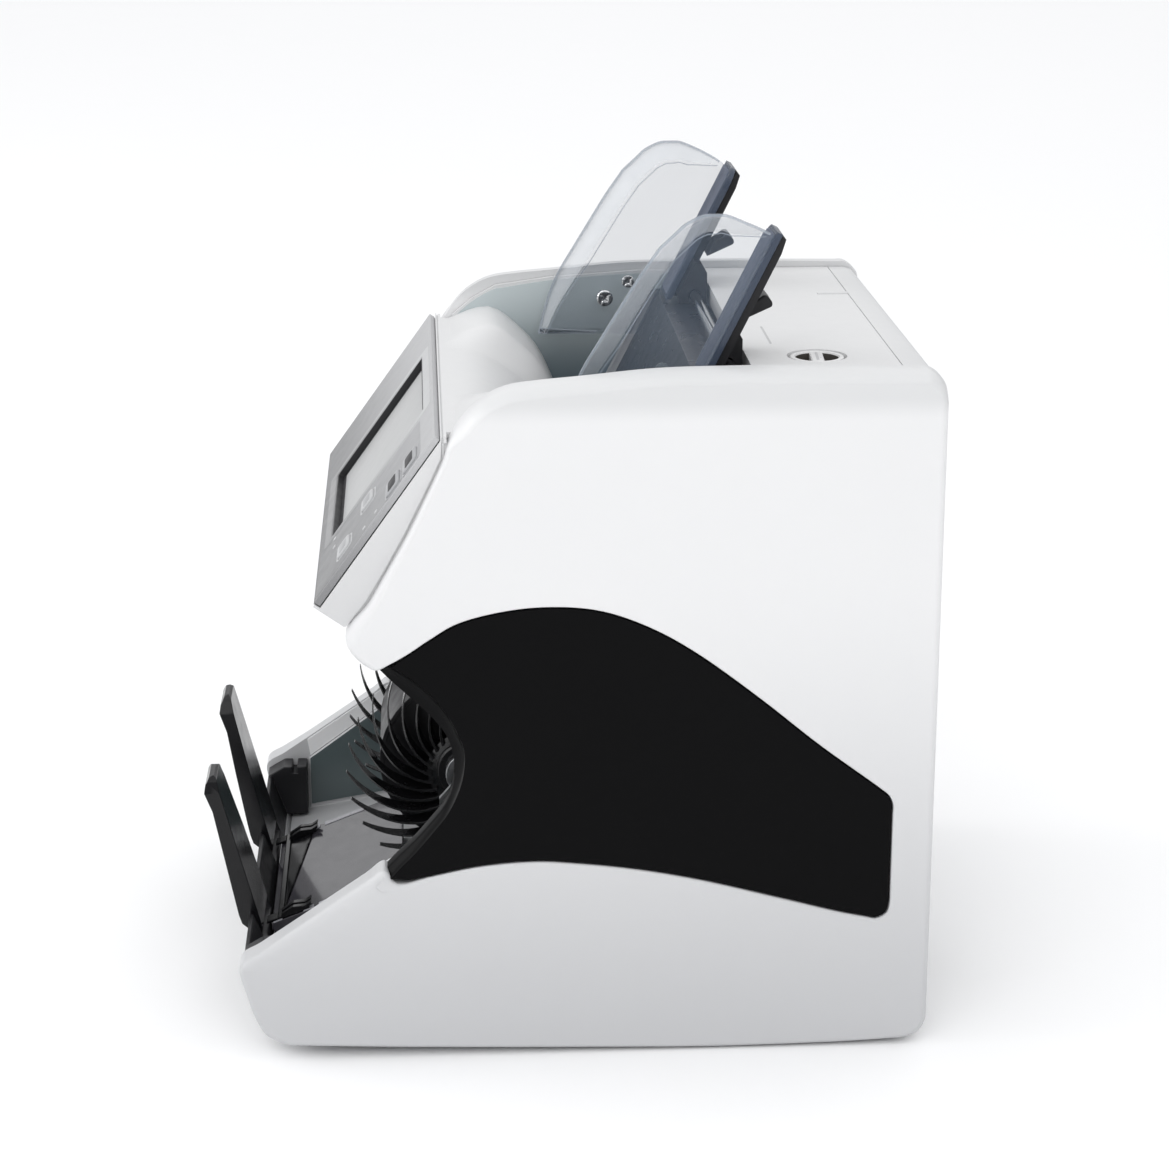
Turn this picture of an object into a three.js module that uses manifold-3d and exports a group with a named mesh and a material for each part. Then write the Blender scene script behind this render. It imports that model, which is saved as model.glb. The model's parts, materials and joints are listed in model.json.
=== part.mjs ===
// Banknote counting machine: top hopper with two leaning note guides, sloping display head,
// open stacker pocket at the front with rubber vane wheels, white side shells with a black
// swept inlay, hinged rear cover.
// Millimetres. +X is the machine's right-hand side, -Y its front, +Z up.
// The bounding box is centred on x = 0 and y = 0; the feet stand on z = 0.
import * as THREE from "three";
import { mergeVertices } from "three/addons/utils/BufferGeometryUtils.js";
import Module from "manifold-3d";

const wasm = await Module();
wasm.setup();

// ---------------------------------------------------------------- driving dimensions
const Y_SHIFT = 0; // move of the whole machine along y
const HALF_W = 125; // half of the overall width
const SHELL_IN = 110.6; // inner face of a side shell
const COVER_HALF = 110.2; // half width of covers that sit between the shells
const GAP = 0.4; // running gap between neighbouring pieces
const PANEL_HALF = 118; // control panel half width
const PANEL_LEN = 81; // control panel length up the slope
const PANEL_T = 2.6; // control panel thickness
const PANEL_O = [-97.3, 191.4]; // lower edge of the panel face (y, z)
const PANEL_DEG = 54.25; // slope of the panel face
const WINDOW = [-50, 50, 9, 74]; // display window on the panel (u0, u1, v0, v1)
const KEYS = [
  // name, u, v, width, height
  ["key_start", 105.5, 65.5, 19, 8.5],
  ["key_mode", 105.5, 54.0, 19, 8.5],
  ["key_add", 76, 36, 15, 8],
  ["key_batch", 97, 20, 15, 8],
];
const DECK_Z = 278.5; // top of the rear deck
const KNOB = [80, 102, 11.6]; // thickness screw: x, y, radius
const DOOR_Y0 = 133.1; // seam of the rear cover on the deck
const DOOR_HINGE = [142.9, 63.5]; // y, z of the rear cover's hinge pin
const STACK = [-38, 92]; // stacker shaft y, z
const STACK_R = 51; // reach of the rubber vanes
const FEED = [35.5, 196]; // feed roller shaft
const FEED_R = 15;
const PICK = [44.5, 229.3]; // pick-up roller shaft
const PICK_R = 11;
const TRANS = [-4, 150]; // transport roller shaft
const TRANS_R = 10;
const RETARD = [8.6, 196]; // retard roller
const MOTOR = [85, 72];
const SHAFT_R = 4;
const SLOPE0 = [-122.5, 26.5]; // pocket floor: a point on its top face (y, z)
const SLOPE = 0.39; // pocket floor rise per mm
const GUIDE_IN = 92; // inner face of a note guide
const GUIDE_OUT = 99; // flared edge of a note guide
const RAIL = [67, 275.2, 2.2]; // guide rail y, z, radius

// ---------------------------------------------------------------- helpers
const AXES_YZX = new THREE.Matrix4().makeBasis(
  new THREE.Vector3(0, 1, 0),
  new THREE.Vector3(0, 0, 1),
  new THREE.Vector3(1, 0, 0),
);
function bare(g) {
  const c = g.index ? g.toNonIndexed() : g.clone();
  return new THREE.BufferGeometry().setAttribute(
    "position",
    c.getAttribute("position"),
  );
}
function solid(g) {
  const m = mergeVertices(bare(g), 1e-4);
  return new wasm.Manifold(
    new wasm.Mesh({
      numProp: 3,
      vertProperties: m.attributes.position.array,
      triVerts: new Uint32Array(m.index.array),
    }),
  );
}
function geo(s) {
  const m = s.getMesh();
  const n = m.numProp;
  const v = new Float32Array(m.numVert * 3);
  for (let i = 0; i < m.numVert; i++)
    v.set(m.vertProperties.subarray(i * n, i * n + 3), i * 3);
  const g = new THREE.BufferGeometry()
    .setAttribute("position", new THREE.BufferAttribute(v, 3))
    .setIndex(new THREE.BufferAttribute(new Uint32Array(m.triVerts), 1));
  g.computeVertexNormals();
  return g;
}
const union = (...a) => a.reduce((p, q) => p.add(q));
const cut = (a, ...b) => b.reduce((p, q) => p.subtract(q), a);
const area = (p) =>
  p.reduce((s, a, i) => {
    const b = p[(i + 1) % p.length];
    return s + a[0] * b[1] - b[0] * a[1];
  }, 0) / 2;
const ccw = (p) => (area(p) < 0 ? p.slice().reverse() : p.slice());

// A (y, z) outline extruded along X from x0 to x1.
function side(pts, x0, x1) {
  const s = new THREE.Shape(ccw(pts).map((p) => new THREE.Vector2(p[0], p[1])));
  return solid(
    new THREE.ExtrudeGeometry(s, { depth: x1 - x0, bevelEnabled: false })
      .applyMatrix4(AXES_YZX)
      .translate(x0, 0, 0),
  );
}
// Outlines of equal length at rising x, joined into one body.
function stack(levels) {
  const n = levels[0].pts.length;
  const pos = [];
  const P = (l, i) => [l.x, l.pts[i % n][0], l.pts[i % n][1]];
  const cap = (l, up) => {
    const v = l.pts.map((p) => new THREE.Vector2(p[0], p[1]));
    for (const t of THREE.ShapeUtils.triangulateShape(v, [])) {
      const q = up ? t : [t[0], t[2], t[1]];
      for (const k of q) pos.push(...P(l, k));
    }
  };
  cap(levels[0], false);
  cap(levels[levels.length - 1], true);
  for (let k = 0; k + 1 < levels.length; k++) {
    const a = levels[k];
    const b = levels[k + 1];
    for (let i = 0; i < n; i++) {
      pos.push(...P(a, i), ...P(a, i + 1), ...P(b, i + 1));
      pos.push(...P(a, i), ...P(b, i + 1), ...P(b, i));
    }
  }
  const g = new THREE.BufferGeometry().setAttribute(
    "position",
    new THREE.BufferAttribute(new Float32Array(pos), 3),
  );
  return solid(g);
}
// Counter-clockwise outline moved inwards by d (a number or one per point).
function inset(pts, d) {
  const n = pts.length;
  return pts.map((p, i) => {
    const a = pts[(i + n - 1) % n];
    const b = pts[(i + 1) % n];
    const u = new THREE.Vector2(p[0] - a[0], p[1] - a[1]).normalize();
    const v = new THREE.Vector2(b[0] - p[0], b[1] - p[1]).normalize();
    const n1 = new THREE.Vector2(-u.y, u.x);
    const n2 = new THREE.Vector2(-v.y, v.x);
    const m = n1.clone().add(n2).normalize();
    const k = Math.min(1 / Math.max(m.dot(n1), 0.3), 1.6);
    const q = (Array.isArray(d) ? d[i] : d) * k;
    return [p[0] + m.x * q, p[1] + m.y * q];
  });
}
const box = (x0, x1, y0, y1, z0, z1) =>
  solid(
    new THREE.BoxGeometry(x1 - x0, y1 - y0, z1 - z0).translate(
      (x0 + x1) / 2,
      (y0 + y1) / 2,
      (z0 + z1) / 2,
    ),
  );
const cylX = (x0, x1, y, z, r, seg = 24) =>
  solid(
    new THREE.CylinderGeometry(r, r, x1 - x0, seg)
      .rotateZ(-Math.PI / 2)
      .translate((x0 + x1) / 2, y, z),
  );
const cylZ = (z0, z1, x, y, r, seg = 24, r2 = r) =>
  solid(
    new THREE.CylinderGeometry(r2, r, z1 - z0, seg)
      .rotateX(Math.PI / 2)
      .translate(x, y, (z0 + z1) / 2),
  );
// Points evenly spaced along a polyline smoothed by a spline.
function smooth(pts, n) {
  const c = new THREE.CatmullRomCurve3(
    pts.map((p) => new THREE.Vector3(p[0], p[1], 0)),
    false,
    "centripetal",
  );
  return c.getSpacedPoints(n).map((p) => [p.x, p.y]);
}
// Convex outline round several circles (y, z, r).
function hull(circles, extra, seg = 24) {
  const pts = [];
  for (const [y, z, r] of circles)
    for (let i = 0; i < seg; i++) {
      const t = (i / seg) * Math.PI * 2;
      pts.push([y + (r + extra) * Math.cos(t), z + (r + extra) * Math.sin(t)]);
    }
  pts.sort((a, b) => a[0] - b[0] || a[1] - b[1]);
  const half = (list) => {
    const h = [];
    for (const p of list) {
      while (h.length > 1) {
        const a = h[h.length - 2];
        const b = h[h.length - 1];
        if (
          (b[0] - a[0]) * (p[1] - a[1]) - (b[1] - a[1]) * (p[0] - a[0]) >
          1e-9
        )
          break;
        h.pop();
      }
      h.push(p);
    }
    h.pop();
    return h;
  };
  return [...half(pts), ...half(pts.slice().reverse())];
}
const mirror = (s) => s.mirror([1, 0, 0]);

const group = new THREE.Group();
group.name = "banknote_counter";
group.position.y = Y_SHIFT;
const PAINT = {
  shell: [0xf0f0f1, 0.35, 0],
  inlay: [0x141416, 0.25, 0],
  grey: [0xaeb0b3, 0.5, 0],
  screen: [0xc9cccc, 0.3, 0],
  keys: [0x8f9396, 0.35, 0],
  black: [0x1a1a1c, 0.35, 0],
  smoke: [0x4a484f, 0.1, 0],
  clear: [0x9fb0bd, 0.08, 0],
  steel: [0xb9bcc0, 0.35, 1],
  chrome: [0xe2e4e6, 0.12, 1],
  rubber: [0x1d1d1f, 0.8, 0],
  grey_rubber: [0x6a6c6e, 0.8, 0],
  board: [0x1f5a3a, 0.6, 0],
  casting: [0x83868a, 0.5, 1],
};
function add(name, s, paint) {
  const [color, roughness, metalness] = PAINT[paint];
  const m = new THREE.Mesh(
    s.isBufferGeometry ? s : geo(s),
    new THREE.MeshStandardMaterial({ color, roughness, metalness }),
  );
  m.name = name;
  group.add(m);
  return m;
}

// ---------------------------------------------------------------- side shells
// Outline of the white shell (y, z, edge rounding, kind), counter-clockwise seen from +X.
const LOW_FRONT = [
  [-131.0, 40.6, 3],
  [-128.6, 27.3, 3],
  [-125.9, 18.5, 3],
  [-122.0, 10.9, 3],
  [-117.9, 7.9, 3],
  [-112.0, 5.8, 2.5],
  [-67.6, 4.1, 2],
  [13.6, 1.8, 2],
  [62, 0.9, 2],
  [115.9, 1.6, 2],
  [137, 2.6, 2],
  [144.2, 5.2, 2.6],
  [147.4, 11.2, 3],
];
const REAR_TOP = [
  [147.4, 120, 3],
  [147.4, 269, 3],
  [145.9, 276.7, 3.6],
  [140.5, 280.8, 4.2],
];
const TOP_EDGE = [
  [115, 281.4, 4.4],
  [90.1, 281.8, 4.4],
  [64.1, 281.8, 4.4],
  [35.9, 281.2, 4.4],
  [6.3, 278.5, 4.4],
  [-11, 277.0, 4.4],
  [-20.5, 275.7, 4.4],
  [-27, 273.4, 4.4],
  [-34.6, 268.4, 4.2],
  [-40.3, 261.9, 3.6],
];
const FRONT_EDGE = [
  [-44.6, 254.6, 2],
  [-46.6, 248.4, 1.8],
  [-52.9, 234.8, 1.8],
  [-61.0, 218.4, 2.2],
  [-69.4, 203.3, 2.8],
  [-77.2, 190.1, 3.8],
  [-82.9, 183.6, 5.5],
  [-85.6, 177.6, 6.2],
  [-83.6, 171.2, 6.0],
  [-74.2, 165.0, 2.0],
];
const SWOOSH_TOP = [
  [-69.6, 167.2],
  [-62.4, 171.2],
  [-53.0, 177.5],
  [-43.6, 183.2],
  [-33.3, 186.6],
  [-17.7, 189.4],
  [-4.2, 190.0],
  [9.4, 188.9],
  [21.1, 185.9],
  [36.8, 179.0],
  [52.5, 169.3],
  [76.4, 151.0],
  [100.6, 130.9],
  [125.1, 112.2],
  [129.0, 108.8],
  [130.6, 104.8],
  [130.5, 63.8],
  [129.3, 58.4],
  [124.7, 56.0],
  [110.5, 59.1],
  [86.0, 65.8],
  [53.6, 74.4],
  [29.5, 79.3],
  [5.5, 82.5],
  [-12.4, 83.8],
  [-34.4, 82.2],
  [-54.3, 78.3],
  [-67.4, 75.6],
];
const LIP = [
  [-72.3, 80.6, 5],
  [-92, 67.1, 8],
  [-112, 53.4, 8],
];
const shellPts = [
  ...LOW_FRONT,
  ...REAR_TOP,
  ...TOP_EDGE,
  ...FRONT_EDGE,
  ...SWOOSH_TOP.map((p) => [p[0], p[1], 0]),
  ...LIP,
];
const shellXY = shellPts.map((p) => [p[0], p[1]]);
const isTop = (i) =>
  i >= LOW_FRONT.length + 2 &&
  i < LOW_FRONT.length + REAR_TOP.length + TOP_EDGE.length;
const atLevel = (fRound, fTop) =>
  inset(
    shellXY,
    shellPts.map((p, i) => (isTop(i) ? p[2] * fTop : p[2] * fRound)),
  );
const shellSolid = cut(
  stack([
    { x: SHELL_IN, pts: shellXY },
    { x: 113.2, pts: shellXY },
    { x: 118.2, pts: atLevel(0, 0.42) },
    { x: 122.9, pts: atLevel(0.3, 0.8) },
    { x: HALF_W, pts: atLevel(1, 1.12) },
  ]),
  box(100, 121.4, 80, 141.4, 196, 270),
  box(100, 121.4, -30, 74, 196, 238),
  box(100, 121.4, -42, 122, 10, 50),
);
add("side_panel_right", shellSolid, "shell");
add("side_panel_left", mirror(shellSolid), "shell");

// Black swept inlay with a bevelled, C-shaped front edge round the stacker opening.
const C_FACE = smooth(
  [
    [-67.9, 166.4],
    [-61.8, 162.5],
    [-55.8, 157.5],
    [-49.7, 150.8],
    [-45.2, 144.2],
    [-42.2, 137.6],
    [-40.3, 132.6],
    [-39.9, 126.6],
    [-41.2, 118.4],
    [-43.6, 111.4],
    [-47.2, 104.4],
    [-52.6, 97.4],
    [-60.0, 88.6],
    [-66.4, 82.0],
    [-70.0, 77.8],
  ],
  16,
);
const C_IN = smooth(
  [
    [-73.2, 164.4],
    [-68.9, 159.8],
    [-62.8, 153.9],
    [-55.9, 147.2],
    [-51.3, 142.2],
    [-46.7, 135.5],
    [-44.3, 128.0],
    [-44.1, 120.6],
    [-45.4, 113.1],
    [-48.5, 106.1],
    [-53.8, 99.2],
    [-60.2, 91.8],
    [-66.6, 85.5],
    [-71.2, 80.6],
  ],
  16,
);
const inlayBack = ccw(SWOOSH_TOP.slice(1, -1));
const inlayAt = (c) => {
  // counter-clockwise: the rear boundary from the lower front round to the upper front, then the C edge downwards
  const rearPart = inset(
    ccw([...SWOOSH_TOP.slice(1, -1), C_FACE[16], [-69.8, 165.5]]),
    GAP,
  ).filter((p) => p[0] > -60.5);
  return [...rearPart, ...c];
};
{
  const a = inlayAt(C_FACE);
  const b = inlayAt(C_IN);
  const dir = area(a);
  const f = (p) => (dir < 0 ? p.slice().reverse() : p);
  const s = stack([
    { x: 112.4, pts: f(b) },
    { x: 118.6, pts: f(b) },
    { x: 124.3, pts: f(a) },
  ]);
  const t = cut(s, box(100, 121.4, -28, 56, 92, 150), box(100, 121.4, 58, 118, 82, 116));
  add("inlay_panel_right", t, "inlay");
  add("inlay_panel_left", mirror(t), "inlay");
}

// ---------------------------------------------------------------- base, pocket
const slopeZ = (y) => SLOPE0[1] + SLOPE * (y - SLOPE0[0]);
const trayZ = (y) => 18.3 + 0.17 * (y + 113);
{
  const pan = side(
    [
      [-117.5, 8.2],
      [142.7, 8.2],
      [142.7, 56],
      [139.9, 56],
      [139.9, 11],
      [-116.6, 11],
      [-119.6, 13.8],
      [-121.45, 19.0],
      [-125.65, 19.0],
      [-125.5, 18.5],
      [-121.7, 11.1],
    ],
    -COVER_HALF,
    COVER_HALF,
  );
  const base = cut(
    pan,
    box(36, 64, 130, 150, 22, 46), // inlet opening
    box(74, 96, 130, 150, 24, 44), // switch opening
  );
  // bearing lugs for the rear cover's hinge pin
  const lug = (x) =>
    cut(
      side(
        [
          [140.1, 55],
          [142.6, 55],
          [145.3, 61],
          [145.3, 66],
          [140.5, 66],
          [140.1, 62],
        ],
        x,
        x + 5,
      ),
      cylX(x - 1, x + 6, DOOR_HINGE[0], DOOR_HINGE[1], 1.55, 12),
    );
  add(
    "base_pan",
    union(base, lug(-COVER_HALF), lug(COVER_HALF - 5)),
    "shell",
  );
}
{
  const floor = side(
    [
      [-119.2, trayZ(-119) - 2.4],
      [-51, trayZ(-51) - 2.4],
      [-51, trayZ(-51)],
      [-119.9, trayZ(-119.9)],
    ],
    -COVER_HALF,
    COVER_HALF,
  );
  // side liners inside the shells
  const liner = side(
    [
      [-111, trayZ(-111) - 1],
      [-57, trayZ(-57) - 1],
      [-57, 81],
      [-66, 76.4],
      [-77.7, 68.3],
      [-111, 43.9],
    ],
    108.4,
    COVER_HALF,
  );
  add("pocket_tray", union(floor, liner, mirror(liner)), "shell");
}
{
  const y0 = -122;
  const y1 = -66;
  const top = side(
    [
      [y0, slopeZ(y0) - 3.2],
      [y1, slopeZ(y1) - 3.2],
      [y1, slopeZ(y1)],
      [y0, slopeZ(y0)],
    ],
    -48,
    48,
  );
  const skirt = side(
    [
      [-119.2, trayZ(-119.2) + GAP],
      [y1, trayZ(y1) + GAP],
      [y1, slopeZ(y1) - 1],
      [y0, slopeZ(y0) - 1],
    ],
    45.4,
    48,
  );
  add("pocket_floor", union(top, skirt, mirror(skirt)), "smoke");
}
{
  // black trim on the front wall, with a sensor block at each end and a notch for each stop finger
  const wall = side(
    [
      [-121.6, 19.6],
      [-123.4, 24.5],
      [-128.4, 38.4],
      [-130.3, 38.9],
      [-128.2, 27.3],
      [-125.75, 19.6],
    ],
    -COVER_HALF,
    COVER_HALF,
  );
  const block = cut(
    side(
      [
        [-125.75, 19.6],
        [-111.8, 19.6],
        [-111.8, 43.4],
        [-122.6, 43.4],
        [-130.3, 38.9],
        [-128.2, 27.3],
      ],
      98,
      COVER_HALF,
    ),
    box(97, COVER_HALF + 1, -118.6, -116.4, 40.2, 46),
  );
  const notch = (x0, x1) => box(x0, x1, -140, -120, 24.6, 45);
  add(
    "pocket_front_trim",
    cut(union(wall, block, mirror(block)), notch(25.6, 64.4), notch(-64.4, -25.6)),
    "black",
  );
}
for (const [n, x, y] of [
  ["foot_front_right", 92, -92],
  ["foot_front_left", -92, -92],
  ["foot_rear_right", 92, 112],
  ["foot_rear_left", -92, 112],
])
  add(n, cylZ(0, 7.9, x, y, 8.5, 20, 9.5), "rubber");

// ---------------------------------------------------------------- display head
const C54 = Math.cos((PANEL_DEG * Math.PI) / 180);
const S54 = Math.sin((PANEL_DEG * Math.PI) / 180);
const PANEL = new THREE.Matrix4()
  .makeBasis(
    new THREE.Vector3(1, 0, 0),
    new THREE.Vector3(0, C54, S54),
    new THREE.Vector3(0, -S54, C54),
  )
  .setPosition(0, PANEL_O[0], PANEL_O[1]);
const panelBox = (u0, u1, v0, v1, n0, n1) =>
  solid(
    new THREE.BoxGeometry(u1 - u0, v1 - v0, n1 - n0)
      .translate((u0 + u1) / 2, (v0 + v1) / 2, (n0 + n1) / 2)
      .applyMatrix4(PANEL),
  );
const onPanel = (v, n) => [
  PANEL_O[0] + v * C54 - n * S54,
  PANEL_O[1] + v * S54 + n * C54,
];
{
  let plate = panelBox(-PANEL_HALF, PANEL_HALF, 0, PANEL_LEN, -PANEL_T, 0);
  plate = cut(plate, panelBox(WINDOW[0], WINDOW[1], WINDOW[2], WINDOW[3], -9, 2));
  for (const [, u, v, w, h] of KEYS)
    plate = cut(
      plate,
      panelBox(u - w / 2 - GAP, u + w / 2 + GAP, v - h / 2 - GAP, v + h / 2 + GAP, -9, 2),
    );
  add("control_panel", plate, "grey");
  add(
    "display_screen",
    panelBox(WINDOW[0] - 3, WINDOW[1] + 3, WINDOW[2] - 3, WINDOW[3] + 3, -5.8, -3.0),
    "screen",
  );
  for (const [name, u, v, w, h] of KEYS)
    add(name, panelBox(u - w / 2, u + w / 2, v - h / 2, v + h / 2, -2.9, 1.1), "keys");
  const f0 = onPanel(-0.4, -PANEL_T - GAP);
  const f00 = onPanel(-0.4, 0);
  const f1 = onPanel(PANEL_LEN, -PANEL_T - GAP);
  const outer = [
    [-97.7, 189.7],
    [-86.2, 181.6],
    [-85.4, 181.6],
    [-77.6, 191.4],
    [-69.8, 204.5],
    [-61.5, 219.6],
    [-53.4, 236],
    [-47.5, 248.4],
    [-47.0, 257.2],
    [f1[0], 257.2],
    [f1[0], f1[1]],
    [f0[0], f0[1]],
    [f00[0], f00[1]],
  ];
  let house = cut(
    side(outer, -118.2, 118.2),
    panelBox(-114, 114, 12, 66, -40, -8.8),
  );
  house = cut(
    house,
    panelBox(WINDOW[0] - 3.5, WINDOW[1] + 3.5, WINDOW[2] - 3.5, WINDOW[3] + 3.5, -10, 2),
  );
  for (const [, u, v, w, h] of KEYS)
    house = cut(
      house,
      panelBox(u - w / 2 - 1, u + w / 2 + 1, v - h / 2 - 1, v + h / 2 + 1, -6, 2),
    );
  add("display_housing", house, "shell");
}
// Cover under the head: front wall of the feed path and roof of the pocket.
add(
  "front_cover",
  side(
    [
      [-84.8, 180.9],
      [-85.2, 177.4],
      [-83.2, 171.4],
      [-74.0, 165.2],
      [-64, 158.4],
      [-54.5, 152.6],
      [-53.3, 155.0],
      [-63, 161.4],
      [-72.6, 168],
      [-80.6, 173.4],
      [-82.2, 177.6],
      [-81.8, 180.9],
    ],
    -COVER_HALF,
    COVER_HALF,
  ),
  "shell",
);

// ---------------------------------------------------------------- top cover and hopper
{
  // outer parts of the hopper front; the centre is lowered as a finger scoop
  const A = [
    [-46.0, 257.0],
    [-40.0, 257.0],
    [-36.0, 259.6],
    [-22.5, 262.4],
    [-9.0, 252.8],
    [-1.0, 243.6],
    [12.0, 214.0],
  ];
  const B = [
    [-46.0, 257.0],
    [-40.0, 257.0],
    [-34.0, 256.6],
    [-25.5, 253.4],
    [-12.0, 244.0],
    [-3.6, 234.6],
    [6.8, 214.0],
  ];
  const As = smooth(A, 18);
  const Bs = smooth(B, 18);
  const plate = (p, t) => {
    const low = [];
    for (let i = 0; i < p.length; i++) {
      const a = p[Math.max(i - 1, 0)];
      const b = p[Math.min(i + 1, p.length - 1)];
      const l = Math.hypot(b[0] - a[0], b[1] - a[1]);
      low.push([p[i][0] - ((b[1] - a[1]) / l) * -t, p[i][1] - ((b[0] - a[0]) / l) * t]);
    }
    return [...p, ...low.reverse()];
  };
  // the scoop fades out sideways between |x| = 40 and |x| = 68
  const mixed = (x) => {
    const t = Math.min(Math.max((Math.abs(x) - 40) / 28, 0), 1);
    const k = t * t * (3 - 2 * t);
    const p = plate(
      As.map((a, i) => [Bs[i][0] + (a[0] - Bs[i][0]) * k, Bs[i][1] + (a[1] - Bs[i][1]) * k]),
      2.6,
    );
    return { x, pts: area(p) < 0 ? p.reverse() : p };
  };
  const xs = [-COVER_HALF, -68, -64.5, -61, -57.5, -54, -50.5, -47, -43.5, -40];
  const ramp = stack([...xs, ...xs.map((x) => -x).reverse()].map(mixed));
  const front = side(
    [
      [-46.4, 254.4],
      [-45.2, 254.4],
      [-45.2, 257.0],
      [-46.4, 257.0],
    ],
    -118.2,
    118.2,
  );
  const wall = side(
    [
      [-40.0, 254.6],
      [-22.4, 258.4],
      [-9.6, 249.6],
      [-3.6, 242.4],
      [7.6, 217],
      [25, 217],
      [51.8, 269.2],
      [53, 271],
      [76.6, 271],
      [76.6, 277.6],
      [46, 278.2],
      [6, 275.6],
      [-20, 272.0],
      [-31, 266.0],
      [-40.0, 258.4],
    ],
    107.8,
    COVER_HALF,
  );
  const deck = box(-COVER_HALF, COVER_HALF, 74, DOOR_Y0 - GAP, DECK_Z - 2.6, DECK_Z);
  const skirt = box(-COVER_HALF, COVER_HALF, 74, 76.6, 270.6, DECK_Z - 1);
  const cup = cut(
    cylZ(270.2, DECK_Z - 1, KNOB[0], KNOB[1], KNOB[2] + 2.4, 32),
    cylZ(272.2, 290, KNOB[0], KNOB[1], KNOB[2] + GAP, 32),
  );
  const top = union(
    ramp,
    front,
    wall,
    mirror(wall),
    cut(deck, cylZ(260, 290, KNOB[0], KNOB[1], KNOB[2] + GAP, 32)),
    skirt,
    cup,
  );
  add("top_cover", cut(top, cylX(-120, 120, RAIL[0], RAIL[1], RAIL[2] + 0.15, 16)), "shell");
}
{
  // thickness adjusting knob: a dished disc with a bar across it
  const disc = cut(
    cylZ(272.6, 278.3, KNOB[0], KNOB[1], KNOB[2], 32),
    cylZ(275.2, 290, KNOB[0], KNOB[1], KNOB[2] - 1.6, 32),
  );
  const bar = box(
    KNOB[0] - 2,
    KNOB[0] + 2,
    KNOB[1] - KNOB[2] + 1,
    KNOB[1] + KNOB[2] - 1,
    274.6,
    278.1,
  );
  add("thickness_knob", union(disc, bar), "keys");
}
{
  const backY = (z) => 23 + 0.503 * (z - 208);
  const p = [
    [backY(214), 214],
    [backY(269.6), 269.6],
    [73.2, 269.6],
    [73.2, 267.2],
    [backY(267.2) + 2.9, 267.2],
    [backY(214) + 2.9, 214],
  ];
  add(
    "hopper_back_plate",
    cut(
      side(p, -105.2, 105.2),
      box(18.5, 36.5, 20, 60, 219, 242),
      box(-36.5, -18.5, 20, 60, 219, 242),
    ),
    "grey",
  );
  add("guide_rail", cylX(-109.6, 109.6, RAIL[0], RAIL[1], RAIL[2], 16), "chrome");
}

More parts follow.
